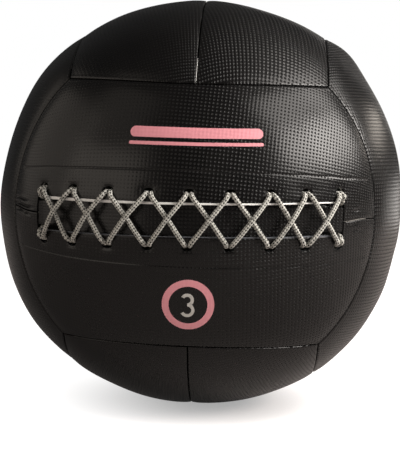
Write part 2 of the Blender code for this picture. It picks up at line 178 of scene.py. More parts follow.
class Face(Enum):
    """The six sides of the ball, each covered by two strips."""

    FRONT = FaceAxes((1, 0, 0), (0, 0, 1), (0, -1, 0), ("upper", "lower"))
    BACK = FaceAxes((1, 0, 0), (0, 0, 1), (0, 1, 0), ("upper", "lower"))
    RIGHT = FaceAxes((0, 0, 1), (0, 1, 0), (1, 0, 0), ("rear", "front"))
    LEFT = FaceAxes((0, 0, 1), (0, 1, 0), (-1, 0, 0), ("rear", "front"))
    TOP = FaceAxes((0, 1, 0), (1, 0, 0), (0, 0, 1), ("right", "left"))
    BOTTOM = FaceAxes((0, 1, 0), (1, 0, 0), (0, 0, -1), ("right", "left"))

    @property
    def turned(self) -> bool:
        """Whether arcs along and across the face give an inward normal."""
        axes = self.value
        return float(np.dot(np.cross(axes.along, axes.across), axes.out)) < 0


class Relief(Enum):
    """How much of the leather's form a layer follows."""

    FULL = "every roll, groove and crease"
    BROAD = "the stuffed form and the broad dips alone"


@dataclass(frozen=True)
class Bulge:
    """A place where stuffing and handling push the ball out of true, in degrees and millimetres."""

    azimuth: float
    elevation: float
    spread: float
    height_mm: float

    def lift(self, directions: Array) -> Array:
        """Height times exp(-(angle / spread)^2), by the angle from the bulge's middle."""
        cosine = directions @ toward(self.azimuth, self.elevation)
        angle = np.degrees(np.arccos(np.clip(cosine, -1.0, 1.0)))
        return self.height_mm * MM * np.exp(-(angle / self.spread) ** 2)


@dataclass(frozen=True)
class Pull:
    """A place where the sewing draws the skin sideways: degrees for the place and its spread
    sideways and upwards, millimetres for the pull to the right and upwards. The tip's square
    rounds off the form's sharp ridge."""

    azimuth: float
    elevation: float
    spreads: Pair
    drawn_mm: Pair
    tip: float = 0.1

    def shift(self, directions: Array, radius: float) -> Array:
        """The pull as a change of direction, (right x rightwards + up x upwards) / radius, times
        exp(-(a / A)^2 - |e| / E) for a sideways and e upwards from the place."""
        middle, rightwards = toward(self.azimuth, self.elevation), toward(self.azimuth + 90.0, 0.0)
        upwards = np.cross(middle, rightwards)
        aside = np.degrees(directions @ rightwards) / self.spreads[0]
        above = np.degrees(directions @ upwards) / self.spreads[1]
        near = np.exp(-aside ** 2 - np.hypot(above, self.tip)) * (directions @ middle > 0)
        drawn = (self.drawn_mm[0] * rightwards + self.drawn_mm[1] * upwards) * MM
        return near[..., None] * drawn / radius


@dataclass(frozen=True)
class Crease:
    """A short fold in the leather: from and to (arc, height), its depth and half width, in mm."""

    start: Pair
    end: Pair
    depth: float
    width: float
    ridge: float = 0.35

    def lift(self, arc: Array, height: Array) -> Array:
        """A groove with a low ridge on both sides: at x half widths from the fold's line,
        depth (ridge exp(-(|x| - 2)^2) - exp(-x^2)), fading over the last third at each end."""
        x, y = arc / MM - self.start[0], height / MM - self.start[1]
        run = np.subtract(self.end, self.start)
        length = float(np.hypot(*run))
        ahead = (x * run[0] + y * run[1]) / length ** 2
        share = np.abs(y * run[0] - x * run[1]) / length / self.width
        fade = smooth_rise(3 * ahead) * smooth_rise(3 * (1 - ahead))
        form = self.ridge * np.exp(-(share - 2) ** 2) - np.exp(-share ** 2)
        return self.depth * MM * fade * form


# Where the outline departs from a true ball
BULGES = tuple(Bulge(*row) for row in (
    (83.0, 47.5, 7.0, 3.8), (-82.0, 18.0, 15.0, -3.3), (-80.0, -12.0, 10.0, -1.8),
    (-72.0, -47.0, 8.0, -1.9), (-62.0, -62.0, 8.0, -2.2), (-85.0, 58.0, 16.0, -1.5),
    (0.0, 89.0, 6.0, 1.3), (80.0, -15.0, 6.0, -2.0), (69.0, -51.0, 5.0, 0.7),
    (85.0, 72.0, 8.0, -1.6),
))

# The left seam is drawn outwards where the folds beside the opening meet it, and the seam right
# of the opening sags at its end
PULLS = (Pull(-54.5, 0.5, (12.0, 9.0), (-3.0, 0.0)), Pull(43.0, 0.0, (5.0, 5.0), (0.0, -3.0)))

# Puckers beside the ends of the opening: short folds that run in from the side seams
CREASES = (
    Crease((-170.0, 2.6), (-135.0, 2.9), 1.6, 0.9),
    Crease((-167.0, 7.2), (-143.0, 7.2), 1.4, 0.8),
    Crease((-167.0, -1.6), (-139.0, -3.2), 1.4, 0.9),
    Crease((133.0, 5.5), (151.0, 8.5), 0.35, 1.1),
    Crease((134.0, -7.0), (150.0, -10.0), 0.3, 1.1),
)

# How far off the grain each panel was cut, in degrees, and how far it is drawn out
ON_GRAIN = (0.0, 1.0)
OFF_GRAIN = {
    (Face.FRONT, "upper"): (-3.5, 1.0), (Face.FRONT, "lower"): (1.5, 1.0),
    (Face.TOP, "right"): (-16.0, 1.2), (Face.TOP, "left"): (-4.0, 1.05),
    (Face.RIGHT, "front"): (2.0, 1.0), (Face.LEFT, "front"): (-2.5, 1.0),
    (Face.BOTTOM, "right"): (3.0, 1.0),
}


@dataclass(frozen=True)
class Opening:
    """Sizes of the laced opening. Arcs run round the ball from its middle, heights along Z.

    The holes were punched by hand, so their columns are not quite evenly spaced, and the opening
    sits a little low and tilted on the ball.
    """

    ends: Pair = (-131.0 * MM, 126.8 * MM)
    half_height: float = 13.0 * MM
    seam_start: float = 146.6 * MM
    holes_mm: tuple[float, ...] = (-126.0, -95.7, -64.3, -31.9, -1.0, 30.6, 62.2, 91.6, 123.2)
    hole_pitch: float = 31.8 * MM
    hole_height: float = 20.8 * MM
    hole_half_width: float = 4.2 * MM
    hole_half_tall: float = 2.9 * MM
    hole_dimple: float = 0.8 * MM
    dimple_reach: float = 2.4 * MM
    bead_height: float = 0.45 * MM
    bead_from_rim: float = 0.9 * MM
    bead_width: float = 0.6 * MM
    lip_round: float = 0.9 * MM
    end_roll: float = 0.35
    hem_height: float = 0.15 * MM
    hem_width: float = 4.0 * MM
    stitch_middle: Pair = (36.8 * MM, -36.1 * MM)
    stitch_ends: Pair = (30.8 * MM, -30.1 * MM)
    stitch_half_length: float = 158.0 * MM
    groove_depth: float = 0.42 * MM
    groove_width: float = 0.62 * MM
    drop: float = -0.35 * MM
    tilt: float = 0.0165
    level_from: Pair = (136.0 * MM, 40.0 * MM)
    level_over: Pair = (28.0 * MM, 55.0 * MM)

    def hole_arcs(self) -> Array:
        """Arc from the middle to each column of holes."""
        return np.array(self.holes_mm) * MM

    def nearest_hole(self, arc: Array) -> Array:
        """Arc to the column of holes nearest to each arc."""
        holes = self.hole_arcs()
        return holes[np.searchsorted((holes[1:] + holes[:-1]) / 2, arc)]

    def shift(self, arc: Array, height: Array) -> Array:
        """How far the leather is drawn up or down: drop + tilt x arc, fading before the seams."""
        fades = [
            1 - smooth_rise((np.abs(run) - start) / over)
            for run, start, over in zip((arc, height), self.level_from, self.level_over)
        ]
        return (self.drop + self.tilt * arc) * fades[0] * fades[1]

    def stitch_line(self, arc: Array, upper: bool) -> Array:
        """Height of a stitch line on the finished ball, falling with the square of the arc."""
        row = 0 if upper else 1
        middle, end = self.stitch_middle[row], self.stitch_ends[row]
        return middle + (end - middle) * (arc / self.stitch_half_length) ** 2

    def to_hole(self, arc: Array, height: Array) -> Array:
        """Rough distance outside the nearest hole's rim: (hypot(x / a, y / b) - 1) (a + b) / 2."""
        across = (arc - self.nearest_hole(arc)) / self.hole_half_width
        up = (np.abs(height) - self.hole_height) / self.hole_half_tall
        return (np.hypot(across, up) - 1) * (self.hole_half_width + self.hole_half_tall) / 2

    def lift(self, arc: Array, height: Array) -> Array:
        """Rolled lips with a hem behind them, dimpled holes with a low bead round each, and the
        two grooves of the stitch lines."""
        past_end = np.maximum(np.maximum(self.ends[0] - arc, arc - self.ends[1]), 0.0)
        past_lip = np.maximum(np.abs(height) - self.half_height, 0.0)
        to_lip = np.hypot(past_end, past_lip)
        to_hole = np.maximum(self.to_hole(arc, height), 0.0)
        lip = self.hem_height * np.exp(-((to_lip / self.hem_width - 1) ** 2))
        rolled = self.end_roll + (1 - self.end_roll) * past_lip / np.maximum(to_lip, 1e-6)
        lip = lip - rolled * quarter_round(to_lip, self.lip_round)
        hole = -self.hole_dimple * np.exp(-to_hole / self.dimple_reach)
        bead = np.exp(-((to_hole - self.bead_from_rim) / self.bead_width) ** 2)
        line = np.where(height > 0, self.stitch_line(arc, True), self.stitch_line(arc, False))
        past_line = height + self.shift(arc, height) - line
        on_line = smooth_rise((self.stitch_half_length - np.abs(arc)) / self.hem_width)
        groove = -self.groove_depth * on_line * np.exp(-(past_line / self.groove_width) ** 2)
        return lip + hole + self.bead_height * bead + groove


@dataclass(frozen=True)
class BallSkin:
    """The ball's outer skin as formulas over each face, in arcs along and across the face."""

    centre: Vector
    opening: Opening
    radius: float = 175.0 * MM
    face_inset: float = 1.6 * MM
    squareness: float = 2.12
    seam_gap: float = 1.15 * MM
    seam_dip: float = 1.1 * MM
    seam_roll: float = 6.0 * MM
    shoulder: float = 1.3 * MM
    welt_height: float = 0.15 * MM
    welt_from_seam: float = 2.1 * MM
    welt_width: float = 0.8 * MM
    bow: float = 1.0
    bow_height: float = 40.0 * MM
    pucker_height: float = 0.12 * MM
    pucker_pitch: float = 3.7 * MM
    pucker_reach: float = 1.9 * MM
    # Strength, length in gathers and phase of each sine in the gathers' spacing
    pucker_drifts: tuple[tuple[float, ...], ...] = ((1.7, 9.3, 0.0), (0.9, 4.1, 1.0))
    wave_seed: int = 12
    wave_height: float = 0.10 * MM
    wave_strengths: tuple[float, ...] = (1.0, 0.8, 0.7, 0.6, 0.5, 0.4)
    wave_lengths: Pair = (36.0 * MM, 96.0 * MM)

    @property
    def seam_plane(self) -> float:
        """Distance of each seam's plane from the centre: the radius over the root of 3."""
        return self.radius / math.sqrt(3.0)

    @property
    def seam_arc(self) -> float:
        """Arc from a face's middle line to its side seam."""
        return self.radius * math.asin(1 / math.sqrt(3.0))

    def arc_up_to(self, height: Array | float) -> Array:
        """Arc across the front up to a height along Z: R asin(h / R)."""
        return self.radius * np.arcsin(height / self.radius)

    def end_arc(self, height: Array | float) -> Array:
        """Arc from a strip's middle to its end seam: R acos((c + gap / 2) / (R cos(h / R)))."""
        ring = self.radius * np.cos(np.asarray(height) / self.radius)
        return self.radius * np.arccos((self.seam_plane + self.seam_gap / 2) / ring)

    def directions(self, face: Face, arc: Array, height: Array) -> Array:
        """Unit directions: longitude arc / R along the face and latitude height / R across it."""
        longitude, latitude = arc / self.radius, height / self.radius
        flat = np.cos(latitude)
        shares = (flat * np.sin(longitude), np.sin(latitude), flat * np.cos(longitude))
        axes = (face.value.along, face.value.across, face.value.out)
        return sum(share[..., None] * np.array(axis, float) for share, axis in zip(shares, axes))

    def seam_distances(self, arc: Array, height: Array) -> tuple[Array, Array, Array]:
        """Distances along the skin to the side seam, the end seam and the face's middle line."""
        out = np.cos(height / self.radius) * np.cos(arc / self.radius)
        to_end = self.radius * np.arcsin(np.clip(out, -1.0, 1.0)) - self.seam_arc
        to_middle = np.abs(height)
        return np.maximum(self.seam_arc - to_middle, 0.0), np.maximum(to_end, 0.0), to_middle

    def sewn_share(self, face: Face, arc: Array) -> Array:
        """Share of the middle line's dip: 1 where it is sewn, 0 along the opening."""
        if face is not Face.FRONT:
            return np.ones_like(arc)
        start = self.opening.seam_start
        return smooth_rise((np.abs(arc) - start) / (self.end_arc(0.0) - start))

    def pucker(self, distance: Array, run: Array) -> Array:
        """Small gathers along a seam, deepest at each stitch: (1 + cos) / 2 of the run, fading with
        the distance from the seam, with a slow drift of two sines in their spacing."""
        turn = 2 * math.pi * run / self.pucker_pitch
        drift = sum(
            strength * np.sin(turn / length + phase)
            for strength, length, phase in self.pucker_drifts
        )
        gathers = (1 + np.cos(turn + drift)) / 2
        return -self.pucker_height * gathers * np.exp(-distance / self.pucker_reach)

    def grain_map(self, arc: Array, height: Array, cut: Pair = ON_GRAIN) -> Array:
        """Where a point lay on the flat leather, in millimetres.

        Args:
            arc: arcs along the face.
            height: arcs across the face.
            cut: how far off the grain the panel was cut, in degrees, and how far it is drawn out.

        Returns:
            u = arc cos(height / R) and v = height + b arc^2 tanh(height / h), turned by the angle
            and divided by the stretch: rows bow towards the middle line at both ends, as in a
            flat sheet drawn over a ball.
        """
        u = arc * np.cos(height / self.radius)
        v = height + self.bow * arc ** 2 * np.tanh(height / self.bow_height)
        turn = math.radians(cut[0])
        turned = (u * math.cos(turn) + v * math.sin(turn), v * math.cos(turn) - u * math.sin(turn))
        return np.stack(turned, axis=-1) / MM / cut[1]

    def unevenness(self, directions: Array) -> Array:
        """Slow waves of the stuffing: a sum of sines in fixed, seeded directions."""
        draw = np.random.default_rng(self.wave_seed)
        total = np.zeros(directions.shape[:-1])
        for strength in self.wave_strengths:
            way = draw.normal(size=3)
            length = draw.uniform(*self.wave_lengths)
            turn = directions @ unit(way) * (2 * math.pi * self.radius / length)
            total += strength * np.sin(turn + draw.uniform(0, 2 * math.pi))
        return self.wave_height * total

    def lift(self, face: Face, arc: Array, height: Array, relief: Relief) -> Array:
        """Height of the skin over the stuffed form: the broad dip into seams, and for full relief
        also the shoulders, the low welt where the seam allowance lies under, gathers, lips,
        grooves and creases."""
        to_side, to_end, to_middle = self.seam_distances(arc, height)
        sewn = self.sewn_share(face, arc)
        raised = (
            (1 - np.exp(-to_side / self.seam_roll))
            * (1 - np.exp(-to_end / self.seam_roll))
            * (1 - sewn * np.exp(-to_middle / self.seam_roll))
        )
        total = -self.seam_dip * (1 - raised)
        if relief is Relief.BROAD:
            return total
        round_middle = quarter_round(to_middle, self.shoulder)
        if face is Face.FRONT:
            left, right = self.opening.ends
            past = np.maximum(left - arc, arc - right) / self.opening.hem_width
            round_middle = round_middle * smooth_rise(past)
            total = total + self.opening.lift(arc, height)
            total = total + sum(crease.lift(arc, height) for crease in CREASES)
        shoulders = [quarter_round(distance, self.shoulder) for distance in (to_side, to_end)]
        total = total - np.maximum(np.maximum(*shoulders), round_middle)
        for distance in (to_side, to_end):
            from_welt = (distance - self.welt_from_seam) / self.welt_width
            total = total + self.welt_height * np.exp(-from_welt ** 2)
        total = total + self.pucker(to_side, arc) + self.pucker(to_end, height)
        return total + sewn * self.pucker(to_middle, arc)

    def place(
        self, face: Face, arc: Array, height: Array, lift: Array | float = 0.0,
        relief: Relief = Relief.FULL,
    ) -> Array:
        """Points over a face, in the row frame.

        Args:
            face: the face.
            arc: arcs along the face from its middle, in metres.
            height: arcs across the face from its middle line, in metres.
            lift: height above the leather's outer side.
            relief: how much of the leather's form the points follow.

        Returns:
            Points of the arrays' broadcast shape, by 3. The radius in direction d is that of the
            rounded cube, (sum |d|^n)^(-1/n), with bulges, waves and the skin's lift added.
            Nothing goes below the floor.
        """
        arc, height = np.broadcast_arrays(np.asarray(arc, float), np.asarray(height, float))
        drawn = self.opening.shift(arc, height) if face is Face.FRONT else 0.0
        directions = self.directions(face, arc, height + drawn)
        directions = unit(directions + sum(pull.shift(directions, self.radius) for pull in PULLS))
        total = np.sum(np.abs(directions) ** self.squareness, axis=-1)
        radius = (self.radius - self.face_inset) * total ** (-1.0 / self.squareness)
        radius = radius + self.lift(face, arc, height, relief) + lift + self.unevenness(directions)
        radius = radius + sum(bulge.lift(directions) for bulge in BULGES)
        points = directions * radius[..., None] + np.array(self.centre)
        points[..., 2] = np.maximum(points[..., 2], 0.0)
        return points

    def sheet(
        self, name: str, face: Face, arc: Array, height: Array,
        lifts: tuple[Array | float, Array | float],
        relief: Relief = Relief.BROAD, chart: Array | None = None, **form: object,
    ) -> Piece:
        """A closed sheet over a face.

        Args:
            name: the piece's name.
            face: the face.
            arc: the grid's arcs along the face.
            height: the grid's arcs across the face.
            lifts: the outer side's height above the leather, and the inner side's.
            relief: how much of the leather's form both sides follow.
            chart: the grid's map in millimetres; arcs and heights if None.
            form: what else closed_sheet takes.

        Returns:
            The piece.
        """
        outer, inner = (self.place(face, arc, height, lift, relief) for lift in lifts)
        chart = np.stack([arc, height], axis=-1) / MM if chart is None else chart
        return closed_sheet(name, outer, inner, chart, **form)


# Meshes from grids

def in_scene(name: str, data: bpy.types.ID) -> Piece:
    """A new object with its data, linked into the scene."""
    made = bpy.data.objects.new(name, data)
    bpy.context.scene.collection.objects.link(made)
    return made


def add_mesh(name: str, points: Array, faces: Array, chart: Array) -> Piece:
    """Put points and four-sided faces into a new object at the origin.

    Args:
        name: the piece's name.
        points: places in metres, by 3.
        faces: one row of four point numbers per face, outward-facing.
        chart: each point's place in its surface's own map, in millimetres, by 2.

    Returns:
        The object, with points that coincide welded, shaded smooth and sharp at hard edges.
    """
    used, inverse = np.unique(faces, return_inverse=True)
    corners = inverse.reshape(-1, 4).astype(np.int32)
    mesh = bpy.data.meshes.new(name)
    mesh.vertices.add(len(used))
    mesh.vertices.foreach_set("co", points.reshape(-1, 3)[used].astype(np.float32).ravel())
    mesh.loops.add(corners.size)
    mesh.loops.foreach_set("vertex_index", corners.ravel())
    mesh.polygons.add(len(corners))
    mesh.polygons.foreach_set("loop_start", np.arange(0, corners.size, 4, dtype=np.int32))
    layer = mesh.uv_layers.new(name=CHART, do_init=False)
    flat = chart.reshape(-1, 2)[used][corners]
    layer.uv.foreach_set("vector", flat.astype(np.float32).ravel())
    mesh.update(calc_edges=True)
    bm = bmesh.new()
    bm.from_mesh(mesh)
    bmesh.ops.remove_doubles(bm, verts=bm.verts, dist=WELD)
    bm.to_mesh(mesh)
    bm.free()
    mesh.shade_smooth()
    mesh.set_sharp_from_angle(angle=SHARP_EDGE)
    return in_scene(name, mesh)


def grid_cells(count_u: int, count_v: int) -> Array:
    """The four point numbers of each cell of a grid, as an array of cells by 4."""
    index = np.arange(count_u * count_v).reshape(count_u, count_v)
    return np.stack([index[:-1, :-1], index[1:, :-1], index[1:, 1:], index[:-1, 1:]], axis=-1)


def closed_sheet(
    name: str, outer: Array, inner: Array, chart: Array, kept: Array | None = None,
    turned: bool = False, wrapped: bool = False,
) -> Piece:
    """A closed shell between two grids of points.

    Args:
        name: the piece's name.
        outer: the outer side's grid of points.
        inner: the inner side's, of the same shape.
        chart: the grid's map in millimetres.
        kept: which cells are there; all of them if None.
        turned: whether the grid's own order faces inwards.
        wrapped: whether the last column of points is the first one again.

    Returns:
        The piece. Each kept cell gives a face on both sides, and each edge that only one kept
        cell has gets a wall between the sides, so slots and holes have walls too.
    """
    count_u, count_v = outer.shape[:2]
    cells = grid_cells(count_u, count_v)
    cells = cells.reshape(-1, 4) if kept is None else cells[kept]
    if wrapped:
        cells = cells % ((count_u - 1) * count_v)
    if turned:
        cells = cells[:, ::-1]
    total = count_u * count_v
    starts, ends = cells.ravel(), np.roll(cells, -1, axis=1).ravel()
    rim = ~np.isin(starts * total + ends, ends * total + starts)
    walls = np.stack([ends[rim], starts[rim], starts[rim] + total, ends[rim] + total], axis=-1)
    faces = np.vstack([cells, cells[:, ::-1] + total, walls])
    return add_mesh(name, np.stack([outer, inner]), faces, np.stack([chart, chart]))


def settle_piece(piece: Piece, finish: Finish, nodes: tuple[str, ...] = ()) -> Piece:
    """Give a piece its finish, the nodes it stands for and its body, and report it."""
    piece.data.materials.clear()
    piece.data.materials.append(finish)
    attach(piece, BODY)
    if nodes:
        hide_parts(*nodes)
    LOG.info("%s: %d faces", piece.name, len(piece.data.polygons))
    return piece


# Finishes

def set_inputs(node: Node, inputs: dict | list | tuple) -> None:
    """Set or link a node's sockets, by name or number. A hex colour is turned linear, and a node
    stands for its first output in use."""
    for key, value in inputs.items() if isinstance(inputs, dict) else enumerate(inputs):
        socket = node.inputs[key]
        if isinstance(key, str):
            socket = next(found for found in node.inputs if found.enabled and found.name == key)
        if isinstance(value, str):
            value = linear_colour(value)
        if isinstance(value, Node):
            value = next(found for found in value.outputs if found.enabled)
        if isinstance(value, bpy.types.NodeSocket):
            node.id_data.links.new(value, socket)
        else:
            socket.default_value = value


def add_node(
    tree: bpy.types.NodeTree, kind: str, inputs: dict | list | tuple = (), **settings: object
) -> Node:
    """Add a node with its settings and links.

    Args:
        tree: the node tree.
        kind: the node's type name, without the word ShaderNode before it.
        inputs: values or sources by socket name or number.
        settings: the node's own properties.

    Returns:
        The node.
    """
    node = tree.nodes.new(f"ShaderNode{kind}")
    for name, value in settings.items():
        setattr(node, name, value)
    set_inputs(node, inputs)
    return node


def new_finish(name: str) -> tuple[Finish, Callable[..., Node], Node]:
    """A material, what adds a node to it, and its Principled shader."""
    made = bpy.data.materials.new(name)
    made.use_nodes = True
    return made, partial(add_node, made.node_tree), made.node_tree.nodes["Principled BSDF"]


def chart_waves(add: Callable[..., Node], per_mm: float, operation: str) -> list[Node]:
    """The sine or cosine of the piece's own map along both its axes, at so many radians a mm."""
    parted = add("SeparateXYZ", [add("UVMap", uv_map=CHART)])
    turns = [add("Math", [parted.outputs[axis], per_mm], operation="MULTIPLY") for axis in "XY"]
    return [add("Math", [turn], operation=operation) for turn in turns]


@dataclass(frozen=True)
class EmbossedLeather:
    """Black PU leather, hot embossed with a square lattice of small pits between crowned lands.

    The lands gloss softly and the pits stay dull, their colour a little darker as painted shade, so
    that a highlight breaks into dots.
    """

    name: str = "black_embossed_synthetic_leather"
    land: str = "0b0a0a"
    # Painted shade: the pits' colour, a little darker than the lands'
    pit_painted_shade: str = "090808"
    scuffed: str = "100f0e"
    specular: float = 0.32
    pitch_mm: float = 3.05
    crowns_mm: Pair = (0.045, 0.24)
    top_from_to: Pair = (270.0 * MM, 305.0 * MM)
    pit_mm: float = 0.26
    pit_from_to: Pair = (0.25, 0.85)
    grain_mm: float = 0.006
    grains_per_metre: float = 900.0
    patches_per_metre: float = 14.0
    worn_from_to: Pair = (0.35, 0.75)
    worn_share: float = 0.6
    gloss_from_to: Pair = (0.3, 0.7)
    roughness: Pair = (0.22, 0.29)
    pit_roughness: float = 0.85
    flat_share: float = 0.14
    flat_from_to: Pair = (-50.0 * MM, 70.0 * MM)
    low_share: float = 0.3
    low_from_to: Pair = (30.0 * MM, 95.0 * MM)

    def build(self) -> Finish:
        """The lattice is c = (cos(2 pi u / p) + cos(2 pi v / p)) / 2 on the leather's own map: pits
        where c nears 1, crowns where it nears -1. The emboss is stretched flatter towards the
        ball's left side and its foot, and its crowns stand highest round the top."""
        made, add, shader = new_finish(self.name)
        both = add("Math", chart_waves(add, 2 * math.pi / self.pitch_mm, "COSINE"), operation="ADD")
        lattice = add("Math", [both, 0.5], operation="MULTIPLY")
        pits = add("MapRange", [lattice, *self.pit_from_to], interpolation_type="SMOOTHSTEP")
        place = add("TexCoord").outputs["Object"]
        x, _, z = add("SeparateXYZ", [place]).outputs
        low_crown, top_crown = self.crowns_mm
        stand = add("MapRange", [z, *self.top_from_to, -low_crown, -top_crown])
        crowns = add("Math", [lattice, stand], operation="MULTIPLY")
        full = add("Math", [pits, -self.pit_mm, crowns], operation="MULTIPLY_ADD")
        share = add("MapRange", [x, *self.flat_from_to, self.flat_share])
        low = add("MapRange", [z, *self.low_from_to, self.low_share])
        pressed = add("Math", [share, low], operation="MULTIPLY")
        pitted = add("Math", [full, pressed], operation="MULTIPLY")
        grain = add("TexNoise", {
            "Vector": place, "Scale": self.grains_per_metre, "Detail": 3.0, "Roughness": 0.6,
        })
        height = add("Math", [grain, self.grain_mm, pitted], operation="MULTIPLY_ADD")
        patches = add("TexNoise", {
            "Vector": place, "Scale": self.patches_per_metre, "Detail": 4.0, "Roughness": 0.55,
        })
        worn = add("MapRange", [patches, *self.worn_from_to, 0.0, self.worn_share])
        land = add("Mix", {"Factor": worn, "A": self.land, "B": self.scuffed}, data_type="RGBA")
        gloss = add("MapRange", [patches, *self.gloss_from_to, *self.roughness])
        shown = add("Math", [pits, pressed], operation="MULTIPLY")
        set_inputs(shader, {
            # The pits' darker colour is painted shade in the emboss's hollows
            "Base Color": add("Mix", {"Factor": pits, "A": land, "B": self.pit_painted_shade}, data_type="RGBA"),
            "Roughness": add("MapRange", [shown, 0.0, 1.0, gloss, self.pit_roughness]),
            "Normal": add("Bump", {"Distance": MM, "Height": height}),
            "Specular IOR Level": self.specular,
        })
        return made


@dataclass(frozen=True)
class WovenWebbing:
    """Polyester webbing, plain woven: rows of small crossing threads, dull and soft."""

    name: str
    # The lighter colour is painted light on the raised threads, the darker one painted shade on the
    # sunk ones
    light: str
    painted_shade: str
    thread_mm: float = 0.7
    relief_mm: float = 0.15

    def build(self) -> Finish:
        """Crossing threads: sin(pi u / t) sin(pi v / t) lights one set and shades the other."""
        made, add, shader = new_finish(self.name)
        waves = chart_waves(add, math.pi / self.thread_mm, "SINE")
        crossed = add("Math", waves, operation="MULTIPLY")
        weave = add("MapRange", [crossed, -1.0, 1.0])
        # Painted light on the raised threads and painted shade on the sunk ones
        colours = {"Factor": weave, "A": self.painted_shade, "B": self.light}
        set_inputs(shader, {
            "Base Color": add("Mix", colours, data_type="RGBA"), "Roughness": 0.85,
            "Normal": add("Bump", {"Distance": self.relief_mm * MM, "Height": weave}),
        })
        return made


@dataclass(frozen=True)
class BraidedCord:
    """Braided polyester lace: pale and dark yarns that cross in small slanting flecks."""

    name: str = "grey_braided_polyester_lace"
    light: str = "c2c1ba"
    dark: str = "0c0b0a"
    fleck_mm: float = 2.3
    yarns: int = 3
    relief_mm: float = 0.25
    fuzz_per_metre: float = 1500.0
    pale_from_to: Pair = (-0.5, -0.2)
    chance_share: float = 0.7
    fuzz_share: float = 0.8
    light_from_to: Pair = (1.2, 1.6)

    def build(self) -> Finish:
        """With turns u round the cord and length v, the two slants are a = 2 n u + v / f and
        b = 2 n u - v / f. The sign of sin(pi a) sin(pi b) makes the pale and dark diamonds of the
        braid, and the whole numbers of a and b name a diamond, which is paler or darker by
        chance."""
        made, add, shader = new_finish(self.name)
        u, v, _ = add("SeparateXYZ", [add("UVMap", uv_map=CHART)]).outputs
        around = add("Math", [u, 2.0 * self.yarns], operation="MULTIPLY")
        along = add("Math", [v, 1 / self.fleck_mm], operation="MULTIPLY")
        wholes, waves = [], []
        for operation in ("ADD", "SUBTRACT"):
            slant = add("Math", [around, along], operation=operation)
            wholes.append(add("Math", [slant], operation="FLOOR"))
            turned = add("Math", [slant, math.pi], operation="MULTIPLY")
            waves.append(add("Math", [turned], operation="SINE"))
        diamond = add("CombineXYZ", wholes)
        chance = add("TexWhiteNoise", {"Vector": diamond}, noise_dimensions="2D")
        crossed = add("Math", waves, operation="MULTIPLY")
        pale = add("MapRange", [crossed, *self.pale_from_to])
        place = add("TexCoord").outputs["Object"]
        fuzz = add("TexNoise", {"Vector": place, "Scale": self.fuzz_per_metre, "Detail": 2.0})
        uneven = add("Math", [chance, self.chance_share, pale], operation="MULTIPLY_ADD")
        mottle = add("Math", [fuzz, self.fuzz_share, uneven], operation="MULTIPLY_ADD")
        share = add("MapRange", [mottle, *self.light_from_to])
        colours = {"Factor": share, "A": self.dark, "B": self.light}
        rounded = add("Math", [crossed], operation="ABSOLUTE")
        set_inputs(shader, {
            "Base Color": add("Mix", colours, data_type="RGBA"), "Roughness": 0.75,
            "Normal": add("Bump", {"Distance": self.relief_mm * MM, "Height": rounded}),
            "Sheen Weight": 0.06, "Sheen Roughness": 0.5, "Specular IOR Level": 0.15,
        })
        return made


@dataclass(frozen=True)
class TwistedThread:
    """Bonded nylon sewing thread: three twisted strands with a slight waxy gloss."""

    name: str
    # The lighter colour is painted light on the twist's crowns, the darker one painted shade in its
    # grooves
    light: str
    painted_shade: str
    band_scale: float = 1.2
    relief_mm: float = 0.08

    def build(self) -> Finish:
        """Slanting bands sin(2 pi (2 u + v)) along each stitch's own map, with painted light on
        their crowns and painted shade between, also as a bump.
        """
        made, add, shader = new_finish(self.name)
        chart = add("UVMap", uv_map=CHART)
        bands = add(
            "TexWave", {"Vector": chart, "Scale": self.band_scale, "Distortion": 0.5},
            wave_type="BANDS", bands_direction="DIAGONAL",
        ).outputs["Fac"]
        # Painted light on the twist's crowns, painted shade in its grooves
        colours = {"Factor": bands, "A": self.painted_shade, "B": self.light}
        set_inputs(shader, {
            "Base Color": add("Mix", colours, data_type="RGBA"), "Roughness": 0.7,
            "Normal": add("Bump", {"Distance": self.relief_mm * MM, "Height": bands}),
            "Specular IOR Level": 0.25,
        })
        return made


@dataclass(frozen=True)
class PrintInk:
    """Screen-printed vinyl ink: a thin satin film that half fills the emboss under it."""

    name: str
    colour: str
    worn: str
    pitch_mm: float = 2.9
    relief_mm: float = 0.03
    mottles_per_metre: float = 420.0

    def build(self) -> Finish:
        """The leather's lattice shows through faintly, and a fine mottle varies the ink."""
        made, add, shader = new_finish(self.name)
        waves = chart_waves(add, 2 * math.pi / self.pitch_mm, "COSINE")
        lattice = add("Math", waves, operation="ADD")
        place = add("TexCoord").outputs["Object"]
        mottle = add("TexNoise", {"Vector": place, "Scale": self.mottles_per_metre, "Detail": 4.0})
        colours = {"Factor": mottle, "A": self.colour, "B": self.worn}
        set_inputs(shader, {
            "Base Color": add("Mix", colours, data_type="RGBA"), "Roughness": 0.55,
            "Normal": add("Bump", {"Distance": -self.relief_mm * MM, "Height": lattice}),
        })
        return made


@dataclass(frozen=True)
class LooseFill:
    """A finish for what is inside: foam, cotton, fibre, canvas or iron sand, by its grain."""

    name: str
    # The lighter colour is painted light on the cells' tops, the darker one painted shade between
    # them
    light: str
    painted_shade: str
    grain_mm: float
    roughness: float
    metallic: float = 0.0

    def build(self) -> Finish:
        """Cells of the grain's size, with painted light on top and painted shade between, also as a
        bump.
        """
        made, add, shader = new_finish(self.name)
        place = add("TexCoord").outputs["Object"]
        cells = add("TexVoronoi", {"Vector": place, "Scale": 1 / (self.grain_mm * MM)})
        # Painted light on the cells' tops and painted shade between them
        colours = {"Factor": cells, "A": self.light, "B": self.painted_shade}
        set_inputs(shader, {
            "Base Color": add("Mix", colours, data_type="RGBA"),
            "Roughness": self.roughness, "Metallic": self.metallic,
            "Normal": add("Bump", {"Distance": -self.grain_mm * MM / 2, "Height": cells}),
        })
        return made


# Cover panels

